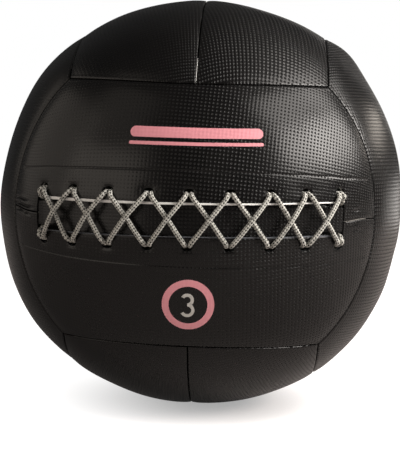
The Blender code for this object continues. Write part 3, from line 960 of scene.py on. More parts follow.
@dataclass
class CoverPanel:
    """One sewn strip of the cover: a sheet that rolls into its seams, its edges turned in."""

    skin: BallSkin
    face: Face
    strip: str
    side: int
    thickness: float = 2.4 * MM
    turn_in: float = 3.6 * MM
    meet_share: float = 0.98
    fine: float = 0.12 * MM
    coarse: float = 1.25 * MM
    inner_step: int = 5

    @property
    def node(self) -> str:
        """The cover's node name."""
        return f"cover_{self.face.name.lower()}_{self.strip}"

    @property
    def edge(self) -> float:
        """Arc from a seam's middle to the panel's edge."""
        return self.skin.seam_gap / 2

    def chart_grid(self) -> tuple[Array, Array, Array]:
        """Arcs and heights of the grid's points, closest at the seams, and the kept cells."""
        reach = float(self.skin.end_arc(0.0))
        half = (reach - graded(reach, self.fine, self.coarse)[::-1]) / reach
        shares = np.concatenate([-half[:0:-1], half])
        rows = self.edge + graded_both(self.skin.seam_arc - 2 * self.edge, self.fine, self.coarse)
        rows = np.sort(self.side * rows)
        arc = shares[:, None] * self.skin.end_arc(rows)
        kept = np.ones((arc.shape[0] - 1, arc.shape[1] - 1), bool)
        return arc, np.broadcast_to(rows, arc.shape), kept

    def inner_grid(self, arc: Array, height: Array) -> tuple[Array, Array]:
        """The inner side's places: held a thickness off the seams, and every few points alike, so
        that the weld leaves a coarser inner side."""
        columns, rows = (np.arange(size) // self.inner_step * self.inner_step for size in arc.shape)
        arc, height = arc[columns][:, rows], height[columns][:, rows]
        held = self.edge + self.thickness
        height = self.side * np.clip(self.side * height, held, self.skin.seam_arc - held)
        reach = self.skin.end_arc(height) - self.thickness
        return np.clip(arc, -reach, reach), height

    def build(self, finish: Finish) -> Piece:
        """The whole panel: the outer sheet, a ring that turns down into the seams and meets its
        neighbours there, and the inner side."""
        arc, height, kept = (np.pad(grid, 1, mode="edge") for grid in self.chart_grid())
        meet = self.edge * self.meet_share
        arc[0], arc[-1] = arc[0] - meet, arc[-1] + meet
        height[:, 0], height[:, -1] = height[:, 0] - meet, height[:, -1] + meet
        folded = np.pad(np.zeros((arc.shape[0] - 2, arc.shape[1] - 2)), 1, constant_values=1.0)
        outer = self.skin.place(self.face, arc, height, -self.turn_in * folded)
        inner_lift = -self.thickness - (self.turn_in - self.thickness) * folded
        inner_grid = self.inner_grid(arc, height)
        inner = self.skin.place(self.face, *inner_grid, inner_lift, Relief.BROAD)
        cut = OFF_GRAIN.get((self.face, self.strip), ON_GRAIN)
        chart = self.skin.grain_map(arc, height, cut)
        name = f"{self.node}_leather"
        piece = closed_sheet(name, outer, inner, chart, kept, self.face.turned)
        settle_piece(piece, finish, (self.node,))
        return piece


@dataclass
class LacedLattice:
    """A grid round the lace holes, whose lines bend into an oval ring at each hole."""

    skin: BallSkin
    cells_in_pitch: int = 30
    ring_cells: int = 7
    hole_cells: int = 4
    row_step: float = 0.95 * MM

    @property
    def middle_height(self) -> float:
        """Arc across the face to the row of holes."""
        return float(self.skin.arc_up_to(self.skin.opening.hole_height))

    @property
    def lip_height(self) -> float:
        """Arc across the face to the lip."""
        return float(self.skin.arc_up_to(self.skin.opening.half_height))

    def columns(self, reach: float, fine: float, coarse: float) -> tuple[Array, Array]:
        """Columns at the holes' height.

        Args:
            reach: arc to the outermost columns.
            fine: the step there.
            coarse: the longest step between them and the holes.

        Returns:
            Arcs, and the number of cells from each column to its nearest hole's column. The same
            number of cells lies between all holes, and half that number past the outer ones.
        """
        holes, half = self.skin.opening.hole_arcs(), self.cells_in_pitch // 2
        cells = np.arange(-half, (len(holes) - 1) * self.cells_in_pitch + half + 1)
        past = half * self.skin.opening.hole_pitch / self.cells_in_pitch
        knots = np.concatenate([[holes[0] - past], holes, [holes[-1] + past]])
        at = np.concatenate([[-half], np.arange(len(holes)) * self.cells_in_pitch, [cells[-1]]])
        even = np.interp(cells, at, knots)
        left = graded(reach + even[0], fine, coarse) - reach
        right = reach - graded(reach - even[-1], fine, coarse)[::-1]
        nearest = np.clip(np.rint(cells / self.cells_in_pitch), 0, len(holes) - 1)
        apart = cells - nearest * self.cells_in_pitch
        apart = np.pad(apart, (len(left) - 1, len(right) - 1), constant_values=half)
        return join_stops(left, even, right), apart

    def hole_rows(self) -> Array:
        """Rows that cross the holes' rings."""
        rings = np.arange(-self.ring_cells, self.ring_cells + 1)
        return self.middle_height + rings * self.row_step

    def bend(
        self, columns: Array, apart: Array, rows: Array, reach_share: Array, side: int, grow: float
    ) -> tuple[Array, ...]:
        """Bend a straight grid round the holes.

        Args:
            columns: arcs at the holes' height.
            apart: cells from each column to its nearest hole's column.
            rows: arcs across the face, positive, rising.
            reach_share: how much each row's arcs shrink beside those at the holes' height.
            side: 1 above the opening and -1 below it.
            grow: added to a hole's half width and half height.

        Returns:
            Arcs, signed heights and the cells that are kept, with heights rising. A point at r of
            the way from a hole's middle to its ring's square edge lies between the oval, at r0,
            and the square, at 1, in step with (r - r0) / (1 - r0).
        """
        opening = self.skin.opening
        nearest = opening.nearest_hole(columns)
        ring_height = self.ring_cells * self.row_step
        x = (apart / self.ring_cells)[:, None]
        y = ((rows - self.middle_height) / ring_height)[None, :]
        away = np.where(apart == 0, 1.0, apart)
        step = np.where(apart == 0, self.row_step, (columns - nearest) / away)
        ring_width = (self.ring_cells * step)[:, None]
        far = np.maximum(np.abs(x), np.abs(y))
        near = far < 1 - 1e-6
        diagonal = np.maximum(np.hypot(x, y), 1e-9)
        least = self.hole_cells / self.ring_cells
        way = np.clip((far - least) / (1 - least), 0.0, 1.0)
        safe = np.maximum(far, 1e-9)
        ovals = (opening.hole_half_width + grow) * x, (opening.hole_half_tall + grow) * y
        squares = ring_width * x, ring_height * y
        moved = [
            oval / diagonal + (square / safe - oval / diagonal) * way
            for oval, square in zip(ovals, squares)
        ]
        arc = np.where(near, nearest[:, None] + moved[0], columns[:, None]) * reach_share
        height = np.where(near, self.middle_height + moved[1], rows[None, :])
        within = near & (far < least + 1e-6)
        kept = ~(within[:-1, :-1] & within[1:, :-1] & within[1:, 1:] & within[:-1, 1:])
        return tuple(grid[:, ::side] for grid in (arc, side * height, kept))


@dataclass
class FrontPanel(CoverPanel):
    """A front strip: it has its half of the opening and a row of lace holes, and is finer."""

    inner_step: int = 1
    past_stitches: float = 41.0 * MM
    column_step: float = 1.0 * MM
    slot_step: float = 0.8 * MM
    lip_step: float = 0.6 * MM
    stitch_step: float = 0.5 * MM
    far_step: float = 1.3 * MM

    def chart_grid(self) -> tuple[Array, ...]:
        """The strip's grid with the slot left out and bent round the holes."""
        lattice = LacedLattice(self.skin)
        at_holes = float(self.skin.end_arc(lattice.middle_height))
        columns, apart = lattice.columns(at_holes, self.fine, self.column_step)
        hole_rows, lip = lattice.hole_rows(), lattice.lip_height
        far = self.skin.seam_arc - self.edge
        rows = join_stops(
            self.edge + graded(lip - self.edge, self.fine, self.slot_step),
            lip + graded(hole_rows[0] - lip, self.fine, self.lip_step),
            hole_rows,
            even_stops(hole_rows[-1], self.past_stitches, self.stitch_step),
            far - graded(far - self.past_stitches, self.fine, self.far_step)[::-1],
        )
        reach_share = self.skin.end_arc(rows) / at_holes
        arc, height, kept = lattice.bend(columns, apart, rows, reach_share, self.side, 0.0)
        across, along = (rows[1:] + rows[:-1]) / 2, (columns[1:] + columns[:-1]) / 2
        ends = self.skin.opening.ends
        left, right = (columns[np.argmin(np.abs(columns - end))] for end in ends)
        slot = ((along > left) & (along < right))[:, None] & (across < lip)[None, :]
        return arc, height, kept & ~slot[:, ::self.side]


# Opening: facings, tongue and lace

@dataclass
class Facing:
    """Webbing sewn behind a lip, with the same holes. Its pale edge shows past the lip."""

    skin: BallSkin
    strip: str
    side: int
    proud_ends: Pair
    depth: float = 2.7 * MM
    edge_depth: float = 0.1 * MM
    proud_within: Pair = (-124.0 * MM, 119.0 * MM)
    proud_over: float = 6.0 * MM
    thickness: float = 1.4 * MM
    back: float = 39.0 * MM
    half_length: float = 146.0 * MM
    edge_round: float = 0.3 * MM
    edge_rise: float = 2.0 * MM
    hole_grow: float = 0.3 * MM
    column_step: float = 1.0 * MM
    edge_steps: Pair = (0.1 * MM, 0.6 * MM)
    back_step: float = 1.2 * MM

    def build(self, finish: Finish) -> Piece:
        """A band from just past the lip to behind the stitch line.

        Its edge lies higher, against the lip, and stands past it by a little more at the left
        end than at the right.
        """
        lattice = LacedLattice(self.skin)
        columns, apart = lattice.columns(self.half_length, self.column_step, self.column_step)
        hole_rows, lip = lattice.hole_rows(), lattice.lip_height
        rows = join_stops(
            lip + graded(hole_rows[0] - lip, *self.edge_steps),
            hole_rows,
            even_stops(hole_rows[-1], self.back, self.back_step),
        )
        arc, height, kept = lattice.bend(
            columns, apart, rows, np.ones_like(rows), self.side, self.hole_grow
        )
        share = (columns - columns[0]) / (columns[-1] - columns[0])
        within = np.minimum(columns - self.proud_within[0], self.proud_within[1] - columns)
        proud = np.interp(share, (0, 1), self.proud_ends) * smooth_rise(within / self.proud_over)
        proud = proud[:, None]
        room = 1 - np.clip((np.abs(height) - lip) / (hole_rows[0] - lip), 0.0, 1.0)
        height = height - self.side * proud * room
        past_edge = np.abs(height) - lip + proud
        raised = 1 - smooth_rise((past_edge - proud) / self.edge_rise)
        lift = -self.depth + (self.depth - self.edge_depth) * raised
        lifts = (lift - quarter_round(past_edge, self.edge_round), lift - self.thickness)
        name = f"facing_{self.strip}_webbing"
        piece = self.skin.sheet(name, Face.FRONT, arc, height, lifts, kept=kept)
        return settle_piece(piece, finish, (f"lace_facing_{self.strip}",))


@dataclass
class Tongue:
    """The leather tongue behind the lips, in the cover's own leather."""

    skin: BallSkin
    depth: float = 5.0 * MM
    thickness: float = 1.5 * MM
    half_height: float = 17.0 * MM
    past_end: float = 0.9 * MM
    sag: float = 0.4 * MM
    rise: float = 4.6 * MM
    rise_over: float = 24.0 * MM
    rise_height: float = 9.0 * MM
    rise_fade: float = 3.5 * MM
    tuck: float = 4.2 * MM
    tuck_over: float = 8.0 * MM
    steps: Pair = (1.2 * MM, 1.0 * MM)

    def build(self, finish: Finish) -> Piece:
        """A curved band, pressed in a little along its middle. Its ends rise to meet the cover at
        the ends of the opening, and their corners dive under the ends of the lace."""
        left, right = self.skin.opening.ends
        arcs = even_stops(left - self.past_end, right + self.past_end, self.steps[0])[:, None]
        heights = even_stops(-self.half_height, self.half_height, self.steps[1])[None, :]
        arc, height = np.broadcast_arrays(arcs, heights)
        to_end = np.minimum(arc - left, right - arc)
        aside = smooth_rise((np.abs(height) - self.rise_height) / self.rise_fade)
        sag = self.sag * np.cos(math.pi * height / 2 / self.half_height)
        sag = sag - self.rise * (1 - aside) * smooth_rise(1 - to_end / self.rise_over)
        sag = sag + self.tuck * aside * smooth_rise(1 - to_end / self.tuck_over)
        lifts = (-self.depth - sag, -self.depth - self.thickness - sag)
        chart = self.skin.grain_map(arc, height)
        piece = self.skin.sheet("tongue_leather", Face.FRONT, arc, height, lifts, chart=chart)
        return settle_piece(piece, finish, ("tongue",))


@dataclass
class Lace:
    """One round cord laced through both rows of holes in crossing strands.

    A stop on its route is an arc, a height and a lift above the leather.
    """

    skin: BallSkin
    diameter: float = 3.8 * MM
    apart: float = 6.6 * MM
    hook_share: float = 0.55
    lift: float = 0.15 * MM
    behind: float = 0.6 * MM
    under_lift: float = 1.3 * MM
    over_lift: float = 4.9 * MM
    under_sunk: float = 4.7 * MM
    crossing_height: float = 0.6 * MM
    entry: float = 16.6 * MM
    tongue_back: float = -6.5 * MM
    lip_back: float = -2.4 * MM
    step: float = 0.55 * MM
    sides: int = 20
    braid_depth: float = 0.06 * MM
    yarns: int = 3
    fleck_mm: float = 2.3

    @property
    def radius(self) -> float:
        """Half the diameter."""
        return self.diameter / 2

    def column_stops(self, arc: float, flip: int, sunk: float, shares: Pair) -> Stops:
        """A strand's way in through a hole, behind the tongue and out on the other side.

        Args:
            arc: arc to the column of holes.
            flip: 1 for the strand that goes in at the top, -1 at the bottom.
            sunk: how much deeper this strand passes behind the tongue.
            shares: how far aside it lies on its way in and out, as a share of the usual.

        Returns:
            The stops.
        """
        inside = self.tongue_back - self.radius - self.behind
        # Share of the way aside, height past the entry in millimetres, and lift
        way = (
            (1.0, 0.0, self.radius + self.lift - 0.1 * MM),
            (0.62, 2.3, -0.1 * MM),
            (0.58, 3.2, -2.6 * MM),
            (0.58, 3.2, self.tongue_back),
            (0.58, 1.0, inside),
            (0.58, -4.0, inside - sunk / 2),
        )
        come, go = (
            [(share * aside, self.entry + past * MM, lift) for aside, past, lift in way]
            for share in (shares[0] * self.apart / 2, shares[1] * self.apart / 2)
        )
        stops = [(arc - aside, height, lift) for aside, height, lift in come]
        stops += [(arc, 0.0, inside - sunk)]
        stops += [(arc + aside, -height, lift) for aside, height, lift in reversed(go)]
        return [(around, flip * height, lift) for around, height, lift in stops]

    def strand_stops(self, flip: int, lift: float, sunk: float) -> Stops:
        """All the stops of one strand, from the left column to the right one."""
        arcs, lip = self.skin.opening.hole_arcs(), self.skin.opening.half_height
        over_lip = self.radius + self.lift + (lift - self.under_lift) / 4
        stops = self.column_stops(arcs[0], flip, sunk, (self.hook_share, 1.0))
        for arc, following in zip(arcs, arcs[1:]):
            middle, half = (arc + following) / 2, (following - arc - self.apart) / 2
            hook = self.hook_share if following == arcs[-1] else 1.0
            stops += [
                (middle - half * lip / self.entry, -flip * lip, over_lip),
                (middle, self.crossing_height, lift),
                (middle + half * lip / self.entry, flip * lip, over_lip),
                *self.column_stops(following, flip, sunk, (1.0, hook)),
            ]
        return stops

    def end_stops(self, side: int, flip: int) -> Stops:
        """The short run from an end hole over the opening's corner and behind its end."""
        opening, radius = self.skin.opening, self.radius
        edge, lip = opening.ends[side > 0], opening.half_height
        behind = self.lip_back - radius - self.behind
        # Millimetres back from the end and up from the lip, and the lift
        places = (
            (2.6, 2.4, 0.0), (1.8, 1.0, -0.2 * radius), (1.4, 0.1, -1.6 * MM),
            (0.0, -1.2, behind),
            (-2.5 * radius / MM, -2.0, behind - radius / 2),
            (-5.0 * radius / MM, -3.5, behind - radius),
        )
        if side < 0 and flip < 0:
            nearer = ((3.6, 2.6, 0.5 * radius), (1.4, 1.9, 0.0), (-0.2, 1.0, -2.0 * MM))
            places = nearer + places[3:]
        return [
            (edge - side * back * MM, flip * (lip + up * MM), lift) for back, up, lift in places
        ]

    def stops(self) -> Array:
        """The whole lace: one strand back to the left, the loop behind the left end, the other."""
        under = self.strand_stops(-1, self.under_lift, self.under_sunk)
        over = self.strand_stops(1, self.over_lift, 0.0)
        back = self.end_stops(1, 1)[::-1] + under[::-1] + self.end_stops(-1, -1)
        return np.array(back + self.end_stops(-1, 1)[::-1] + over + self.end_stops(1, -1))

    def route(self) -> Array:
        """Points a short step apart along a centripetal Catmull-Rom curve through the stops."""
        arc, height, lift = self.stops().T
        heights = self.skin.arc_up_to(height)
        stops = self.skin.place(Face.FRONT, arc, heights, lift, Relief.BROAD)
        knots = np.vstack([2 * stops[0] - stops[1], stops, 2 * stops[-1] - stops[-2]])
        pieces = []
        for before, start, end, after in zip(knots, knots[1:], knots[2:], knots[3:]):
            pairs = ((before, start), (start, end), (end, after))
            t1, t2, t3 = np.cumsum([np.linalg.norm(b - a) ** 0.5 for a, b in pairs])
            count = max(2, math.ceil(np.linalg.norm(end - start) / self.step))
            t = np.linspace(t1, t2, count, endpoint=False)[:, None]
            a1 = between(t, 0.0, t1, before, start)
            a2 = between(t, t1, t2, start, end)
            a3 = between(t, t2, t3, end, after)
            b1, b2 = between(t, 0.0, t2, a1, a2), between(t, t1, t3, a2, a3)
            pieces.append(between(t, t1, t2, b1, b2))
        fine = np.vstack(pieces + [stops[-1:]])
        run = run_lengths(fine)
        return read_along(fine, run, even_stops(0.0, float(run[-1]), self.step))

    def build(self, finish: Finish) -> Piece:
        """A tube of rings along the route, whose surface swells where the braid's yarns cross.

        With turns u and length v, the radius is
        r - d + d (|sin(2 pi n u + pi v / f)| + |sin(2 pi n u - pi v / f)| - 1). The first and last
        rings close to a point.
        """
        route = self.route()
        ahead = unit(np.gradient(route, axis=0))
        sideways = carried_across(ahead)
        upwards = np.cross(ahead, sideways)
        turns = np.arange(self.sides + 1) / self.sides
        length = np.arange(len(route)) * self.step
        around = 2 * math.pi * self.yarns * turns[None, :]
        along = math.pi * length[:, None] / (self.fleck_mm * MM)
        braid = np.abs(np.sin(around + along)) + np.abs(np.sin(around - along)) - 1
        radius = self.radius - self.braid_depth + self.braid_depth * braid
        radius[[0, -1]] = 0.0
        angle = 2 * math.pi * turns
        points = (
            route[:, None, :]
            + (radius * np.cos(angle))[..., None] * sideways[:, None, :]
            + (radius * np.sin(angle))[..., None] * upwards[:, None, :]
        )
        chart = np.stack(np.broadcast_arrays(turns[None, :], length[:, None] / MM), axis=-1)
        faces = grid_cells(len(route), self.sides + 1).reshape(-1, 4)[:, ::-1]
        piece = add_mesh("lace_braided", points, faces, chart)
        return settle_piece(piece, finish, ("lace",))


def carried_across(ahead: Array) -> Array:
    """Sideways directions along a path that turn as little as they can.

    Args:
        ahead: unit directions along the path.

    Returns:
        One unit direction for each, square to it: the one before, less its part along the path.
    """
    across = np.empty_like(ahead)
    side = np.cross(ahead[0], (0.0, 0.0, 1.0))
    for index, way in enumerate(ahead):
        side = unit(side - way * float(side @ way))
        across[index] = side
    return across


# Stitching

@dataclass
class StitchRow:
    """A row of stitches along a path: each is a short arch of thread that dips in at both ends."""

    name: str
    pitch: float = 3.4 * MM
    length: float = 2.8 * MM
    radius: float = 0.46 * MM
    arch: float = 0.3 * MM
    sink: float = 0.25 * MM
    across: bool = False
    rings: int = 9
    sides: int = 6

    def build(self, paths: list[Path], finish: Finish, slot: str) -> Piece:
        """Lay the stitches.

        Args:
            paths: for each path its points and the outward directions there.
            finish: the thread's finish.
            slot: not used.

        Returns:
            One piece with all the stitches. Along a stitch, at t from -1 to 1, the thread's middle
            is at t L / 2, its height is arch (1 - t^2) - sink, and its radius is r sqrt(1 - t^6).
        """
        places = [self.spaced(path, outward) for path, outward in paths]
        middles, ahead, out = (np.vstack(column) for column in zip(*places))
        side = np.cross(ahead, out)
        if self.across:
            ahead, side = side, -ahead
        t = np.linspace(-1, 1, self.rings)
        turns = np.arange(self.sides + 1) / self.sides
        angle = 2 * math.pi * turns
        radius = (self.radius * np.sqrt(np.maximum(1 - t ** 6, 0.0)))[:, None]
        along = (t * self.length / 2)[:, None] + 0 * angle
        high = (self.arch * (1 - t ** 2) - self.sink)[:, None] + radius * np.sin(angle)
        ways = ((along, ahead), (high, out), (radius * np.cos(angle), side))
        points = middles[:, None, None, :] + sum(
            share[None, ..., None] * way[:, None, None, :] for share, way in ways
        )
        cells = grid_cells(len(t), len(turns)).reshape(-1, 4)
        faces = cells[None] + (np.arange(len(middles)) * along.size)[:, None, None]
        chart = np.stack(np.broadcast_arrays(turns[None, :], along / MM), axis=-1)
        chart = np.broadcast_to(chart, (len(middles), *chart.shape))
        piece = add_mesh(self.name, points, faces.reshape(-1, 4)[:, ::-1], chart)
        return settle_piece(piece, finish)

    def spaced(self, path: Array, outward: Array) -> tuple[Array, Array, Array]:
        """Middles, directions and outward directions of stitches one pitch apart along a path."""
        run = run_lengths(path)
        at = even_stops(self.pitch / 2, float(run[-1]) - self.pitch / 2, self.pitch)
        middles, out, ahead = (
            read_along(values, run, at) for values in (path, outward, np.gradient(path, axis=0))
        )
        out = unit(out)
        return middles, unit(ahead - out * np.sum(ahead * out, axis=1, keepdims=True)), out


@dataclass
class Stitching:
    """Every visible row of thread: the facings' stitch lines, the topstitching beside the opening,
    and the seam thread glimpsed between panels."""

    skin: BallSkin
    seam_depth: float = -0.6 * MM
    step: float = 2.0 * MM
    end_run: Pair = (130.0 * MM, 160.0 * MM)
    end_step: float = 1.0 * MM
    end_height: float = 4.0 * MM

    def path(self, face: Face, arc: Array, height: Array | float, lift: float = 0.0) -> Path:
        """A path on the leather and its outward directions."""
        arc, height = np.broadcast_arrays(np.asarray(arc, float), np.asarray(height, float))
        return self.skin.place(face, arc, height, lift), self.skin.directions(face, arc, height)

    def facing_lines(self) -> list[Path]:
        """The long lines above and below the opening."""
        opening = self.skin.opening
        arc = even_stops(-opening.stitch_half_length, opening.stitch_half_length, self.step)
        heights = [opening.stitch_line(arc, upper) for upper in (True, False)]
        places = [height - opening.shift(arc, height) for height in heights]
        return [self.path(Face.FRONT, arc, place) for place in places]

    def end_lines(self) -> list[Path]:
        """Two short lines beside the middle seam at the right end of the opening."""
        arc = even_stops(*self.end_run, self.end_step)
        return [self.path(Face.FRONT, arc, row * self.end_height) for row in (-1, 1)]

    def seam_lines(self) -> list[Path]:
        """Down in the grooves between panels: every side seam, and every middle seam but the
        opening's."""
        lines, depth = [], self.seam_depth
        side_reach, reach = (float(self.skin.end_arc(arc)) for arc in (self.skin.seam_arc, 0.0))
        for face in Face:
            arc = even_stops(-side_reach, side_reach, self.step)
            lines += [self.path(face, arc, side * self.skin.seam_arc, depth) for side in (-1, 1)]
            if face is Face.FRONT:
                arc = even_stops(self.skin.opening.seam_start, reach, self.step)
                lines += [self.path(face, side * arc, 0.0, depth) for side in (-1, 1)]
            else:
                lines.append(self.path(face, even_stops(-reach, reach, self.step), 0.0, depth))
        return lines

    def build(self, black: Finish) -> None:
        """All the rows."""
        facing = StitchRow("stitches_facing_lines", arch=0.15 * MM, sink=0.5 * MM)
        facing.build(self.facing_lines(), black, "cover")
        ends = StitchRow("stitches_opening_ends", pitch=3.0 * MM, length=2.2 * MM)
        ends.build(self.end_lines(), black, "cover")
        seams = StitchRow(
            "stitches_seams", pitch=4.6 * MM, length=2.2 * MM, radius=0.3 * MM, arch=0.5 * MM,
            across=True,
        )
        seams.build(self.seam_lines(), black, "cover")


@dataclass
class SeamTape:
    """Pale binding tape inside a seam, glimpsed as a thin line where two panels part."""

    skin: BallSkin
    half_width: float = 0.2 * MM
    thickness: float = 0.4 * MM
    lift: float = -0.45 * MM
    crown: float = 0.15 * MM
    step: float = 0.8 * MM
    points_across: int = 5

    def build(self, name: str, face: Face, run: Pair, finish: Finish) -> Piece:
        """A narrow band on the face's middle line, its two edges rounded, thinning to nothing at
        the end of the run: half width w sqrt(1 - t^6) at t from -1 to 1 along it."""
        arcs = even_stops(*run, self.step)
        t = np.linspace(-1, 1, len(arcs))
        width = self.half_width * np.sqrt(np.maximum(1 - t ** 6, 1e-4))
        shares = np.linspace(-1, 1, self.points_across)
        arc, height = arcs[:, None] + 0 * shares, width[:, None] * shares
        lifts = (self.lift + self.crown * (1 - shares ** 2), self.lift - self.thickness)
        piece = self.skin.sheet(name, face, arc, height, lifts, turned=face.turned)
        return settle_piece(piece, finish)


# Prints: plain bars, a plain ring and a plain weight figure

@dataclass
class Prints:
    """Ink on the front: two bars above the opening, and a ring round the weight below it."""

    skin: BallSkin
    lift: float = 0.10 * MM
    film: float = 0.06 * MM
    bar_middle: Pair = (3.0 * MM, 63.0 * MM)
    bar_half_length: float = 54.0 * MM
    # How far each bar's middle line is from the bars' middle, and half its height
    bars: tuple[Pair, ...] = ((2.9 * MM, 4.1 * MM), (-5.6 * MM, 1.3 * MM))
    bar_steps: Pair = (0.05 * MM, 1.0 * MM)
    bar_row_step: float = 0.7 * MM
    ring_middle: Pair = (0.5 * MM, -67.5 * MM)
    ring_radii: Pair = (15.9 * MM, 21.5 * MM)
    ring_points: tuple[int, int] = (181, 9)
    figure_middle: Pair = (-0.1 * MM, -66.9 * MM)
    figure_radii: Pair = (4.1 * MM, 4.7 * MM)
    figure_stroke: float = 2.7 * MM
    figure_degrees: Pair = (-90.0, 152.0)
    figure_points: tuple[int, int] = (61, 5)

    def film_piece(
        self, name: str, arc: Array, height: Array, finish: Finish, **form: bool
    ) -> Piece:
        """A thin film of ink over the leather from a grid of arcs and heights."""
        cut = OFF_GRAIN[(Face.FRONT, "upper" if np.mean(height) > 0 else "lower")]
        lifts = (self.lift, self.lift - self.film)
        chart = self.skin.grain_map(arc, height, cut)
        piece = self.skin.sheet(name, Face.FRONT, arc, height, lifts, Relief.FULL, chart, **form)
        return settle_piece(piece, finish)

    def bar(self, name: str, offset: float, half_height: float, finish: Finish) -> None:
        """A bar with round ends: its half height at x from an end is sqrt(r^2 - (r - x)^2)."""
        arcs = graded_both(2 * self.bar_half_length, *self.bar_steps) - self.bar_half_length
        reach = half_height - quarter_round(self.bar_half_length - np.abs(arcs), half_height)
        shares = np.linspace(-1, 1, 2 * max(2, round(half_height / self.bar_row_step)) + 1)
        arc = self.bar_middle[0] + arcs[:, None] + 0 * shares
        height = self.bar_middle[1] + offset + np.maximum(reach, 1e-6)[:, None] * shares
        self.film_piece(name, arc, height, finish)

    def round_piece(
        self, name: str, middle: Pair, radii: Array, angles: Array, finish: Finish, **form: bool
    ) -> None:
        """A film at radii and angles round its middle."""
        arc, height = middle[0] + radii * np.cos(angles), middle[1] + radii * np.sin(angles)
        self.film_piece(name, arc, height, finish, **form)

    def ring(self, finish: Finish) -> None:
        """A plain ring: angle round it and radius across it."""
        around, across = self.ring_points
        angles = np.linspace(0.0, 2 * math.pi, around)[:, None]
        radii = np.linspace(*self.ring_radii, across)[None, :]
        form = {"turned": True, "wrapped": True}
        self.round_piece("print_ring", self.ring_middle, radii, angles, finish, **form)

    def figure(self, finish: Finish) -> None:
        """The figure 3 as an upper and a lower bowl. Each is a band round its own middle, and
        its outer radius is cut at the line where the two meet: r / |sin| of the angle."""
        names = ("print_three_upper", "print_three_lower")
        around, across = self.figure_points
        for name, radius, flip in zip(names, self.figure_radii, (1, -1)):
            angles = np.radians(np.linspace(*self.figure_degrees, around))[:, None]
            inner, outer = radius - self.figure_stroke / 2, radius + self.figure_stroke / 2
            meet = radius / np.maximum(np.abs(np.sin(angles)), 1e-6)
            outer = np.where(angles < 0, np.minimum(outer, meet), outer)
            radii = inner + (outer - inner) * np.linspace(0, 1, across)[None, :]
            middle = (self.figure_middle[0], self.figure_middle[1] + flip * radius)
            self.round_piece(name, middle, radii, flip * angles, finish, turned=flip > 0)

    def build(self, pink: Finish, light_pink: Finish, pale: Finish) -> None:
        """All the printed pieces."""
        for index, (offset, half_height) in enumerate(self.bars):
            self.bar(f"print_bar_{index + 1}", offset, half_height, pink)
        self.ring(light_pink)
        self.figure(pale)


# Inside

INSIDE_FINISHES = {
    "pad_": LooseFill("grey_polyurethane_foam", "6a6b70", "3c3d41", 0.9, 0.95),
    "liner_": LooseFill("natural_cotton_drill", "b4a88f", "8a7f69", 0.6, 0.95),
    "filling_": LooseFill("white_polyester_fibre", "e4e3de", "b9b8b2", 6.0, 1.0),
    "ballast_pouch_": LooseFill("grey_canvas", "7c7a74", "55534e", 0.8, 0.95),
    "ballast": LooseFill("iron_sand", "4a4644", "1d1b1a", 0.5, 0.6, 0.6),
}


def dress_inside(nodes: dict[str, Piece]) -> None:
    """Give each hidden node the finish of what it is made of."""
    made = {prefix: finish.build() for prefix, finish in INSIDE_FINISHES.items()}
    for name, node in nodes.items():
        prefixes = [prefix for prefix in made if name.startswith(prefix)]
        if prefixes:
            node.data.materials.clear()
            node.data.materials.append(made[max(prefixes, key=len)])
            LOG.info("%s: finish %s", name, max(prefixes, key=len))


# Studio

@dataclass(frozen=True)
class SoftBox:
    """A rectangular soft light, placed round the ball by azimuth (0 in front, 90 to the right)
    and elevation."""

    name: str
    azimuth: float
    elevation: float
    distance: float
    width: float
    height: float
    power: float
    colour: str
    downwards: bool = False

    def build(self, target: Vector) -> None:
        """The lamp, turned towards the target or straight down."""
        way = Vector(toward(self.azimuth, self.elevation))
        lamp = bpy.data.lights.new(self.name, "AREA")
        lamp.shape = "RECTANGLE"
        lamp.size, lamp.size_y = self.width, self.height
        lamp.energy = self.power
        lamp.color = linear_colour(self.colour)[:3]
        made = in_scene(self.name, lamp)
        made.location = target + way * self.distance
        if not self.downwards:
            made.rotation_euler = way.to_track_quat("Z", "Y").to_euler()
        made.visible_camera = False


KEY_LIGHT, WARM_LIGHT = "fff9f3", "fff3e6"
SOFT_BOXES = tuple(SoftBox(*row) for row in (
    ("key_right_front", 60.0, 26.0, 1.5, 0.72, 0.5, 17.8, KEY_LIGHT),
    ("key_right", 85.0, 26.0, 1.5, 0.72, 0.5, 16.6, KEY_LIGHT),
    ("key_right_high", 75.0, 49.0, 1.5, 1.4, 0.5, 14.6, KEY_LIGHT),
    ("overhead", 100.0, 70.0, 1.5, 1.0, 0.5, 0.8, KEY_LIGHT),
    ("rim_right", 137.0, -5.0, 1.5, 0.8, 0.28, 1.15, KEY_LIGHT),
    ("rim_right_far", 168.0, 11.0, 1.8, 0.7, 0.5, 0.6, KEY_LIGHT),
    ("floor_wash_right", 126.0, 16.0, 1.15, 0.5, 0.5, 3.5, WARM_LIGHT, True),
    ("fill_left", -88.0, 18.0, 1.8, 1.6, 1.4, 4.6, WARM_LIGHT),
    ("fill_left_front", -46.0, 6.0, 1.9, 1.5, 1.3, 8.6, WARM_LIGHT),
    ("fill_left_high", -50.0, 44.0, 1.9, 1.0, 1.0, 1.4, WARM_LIGHT),
))


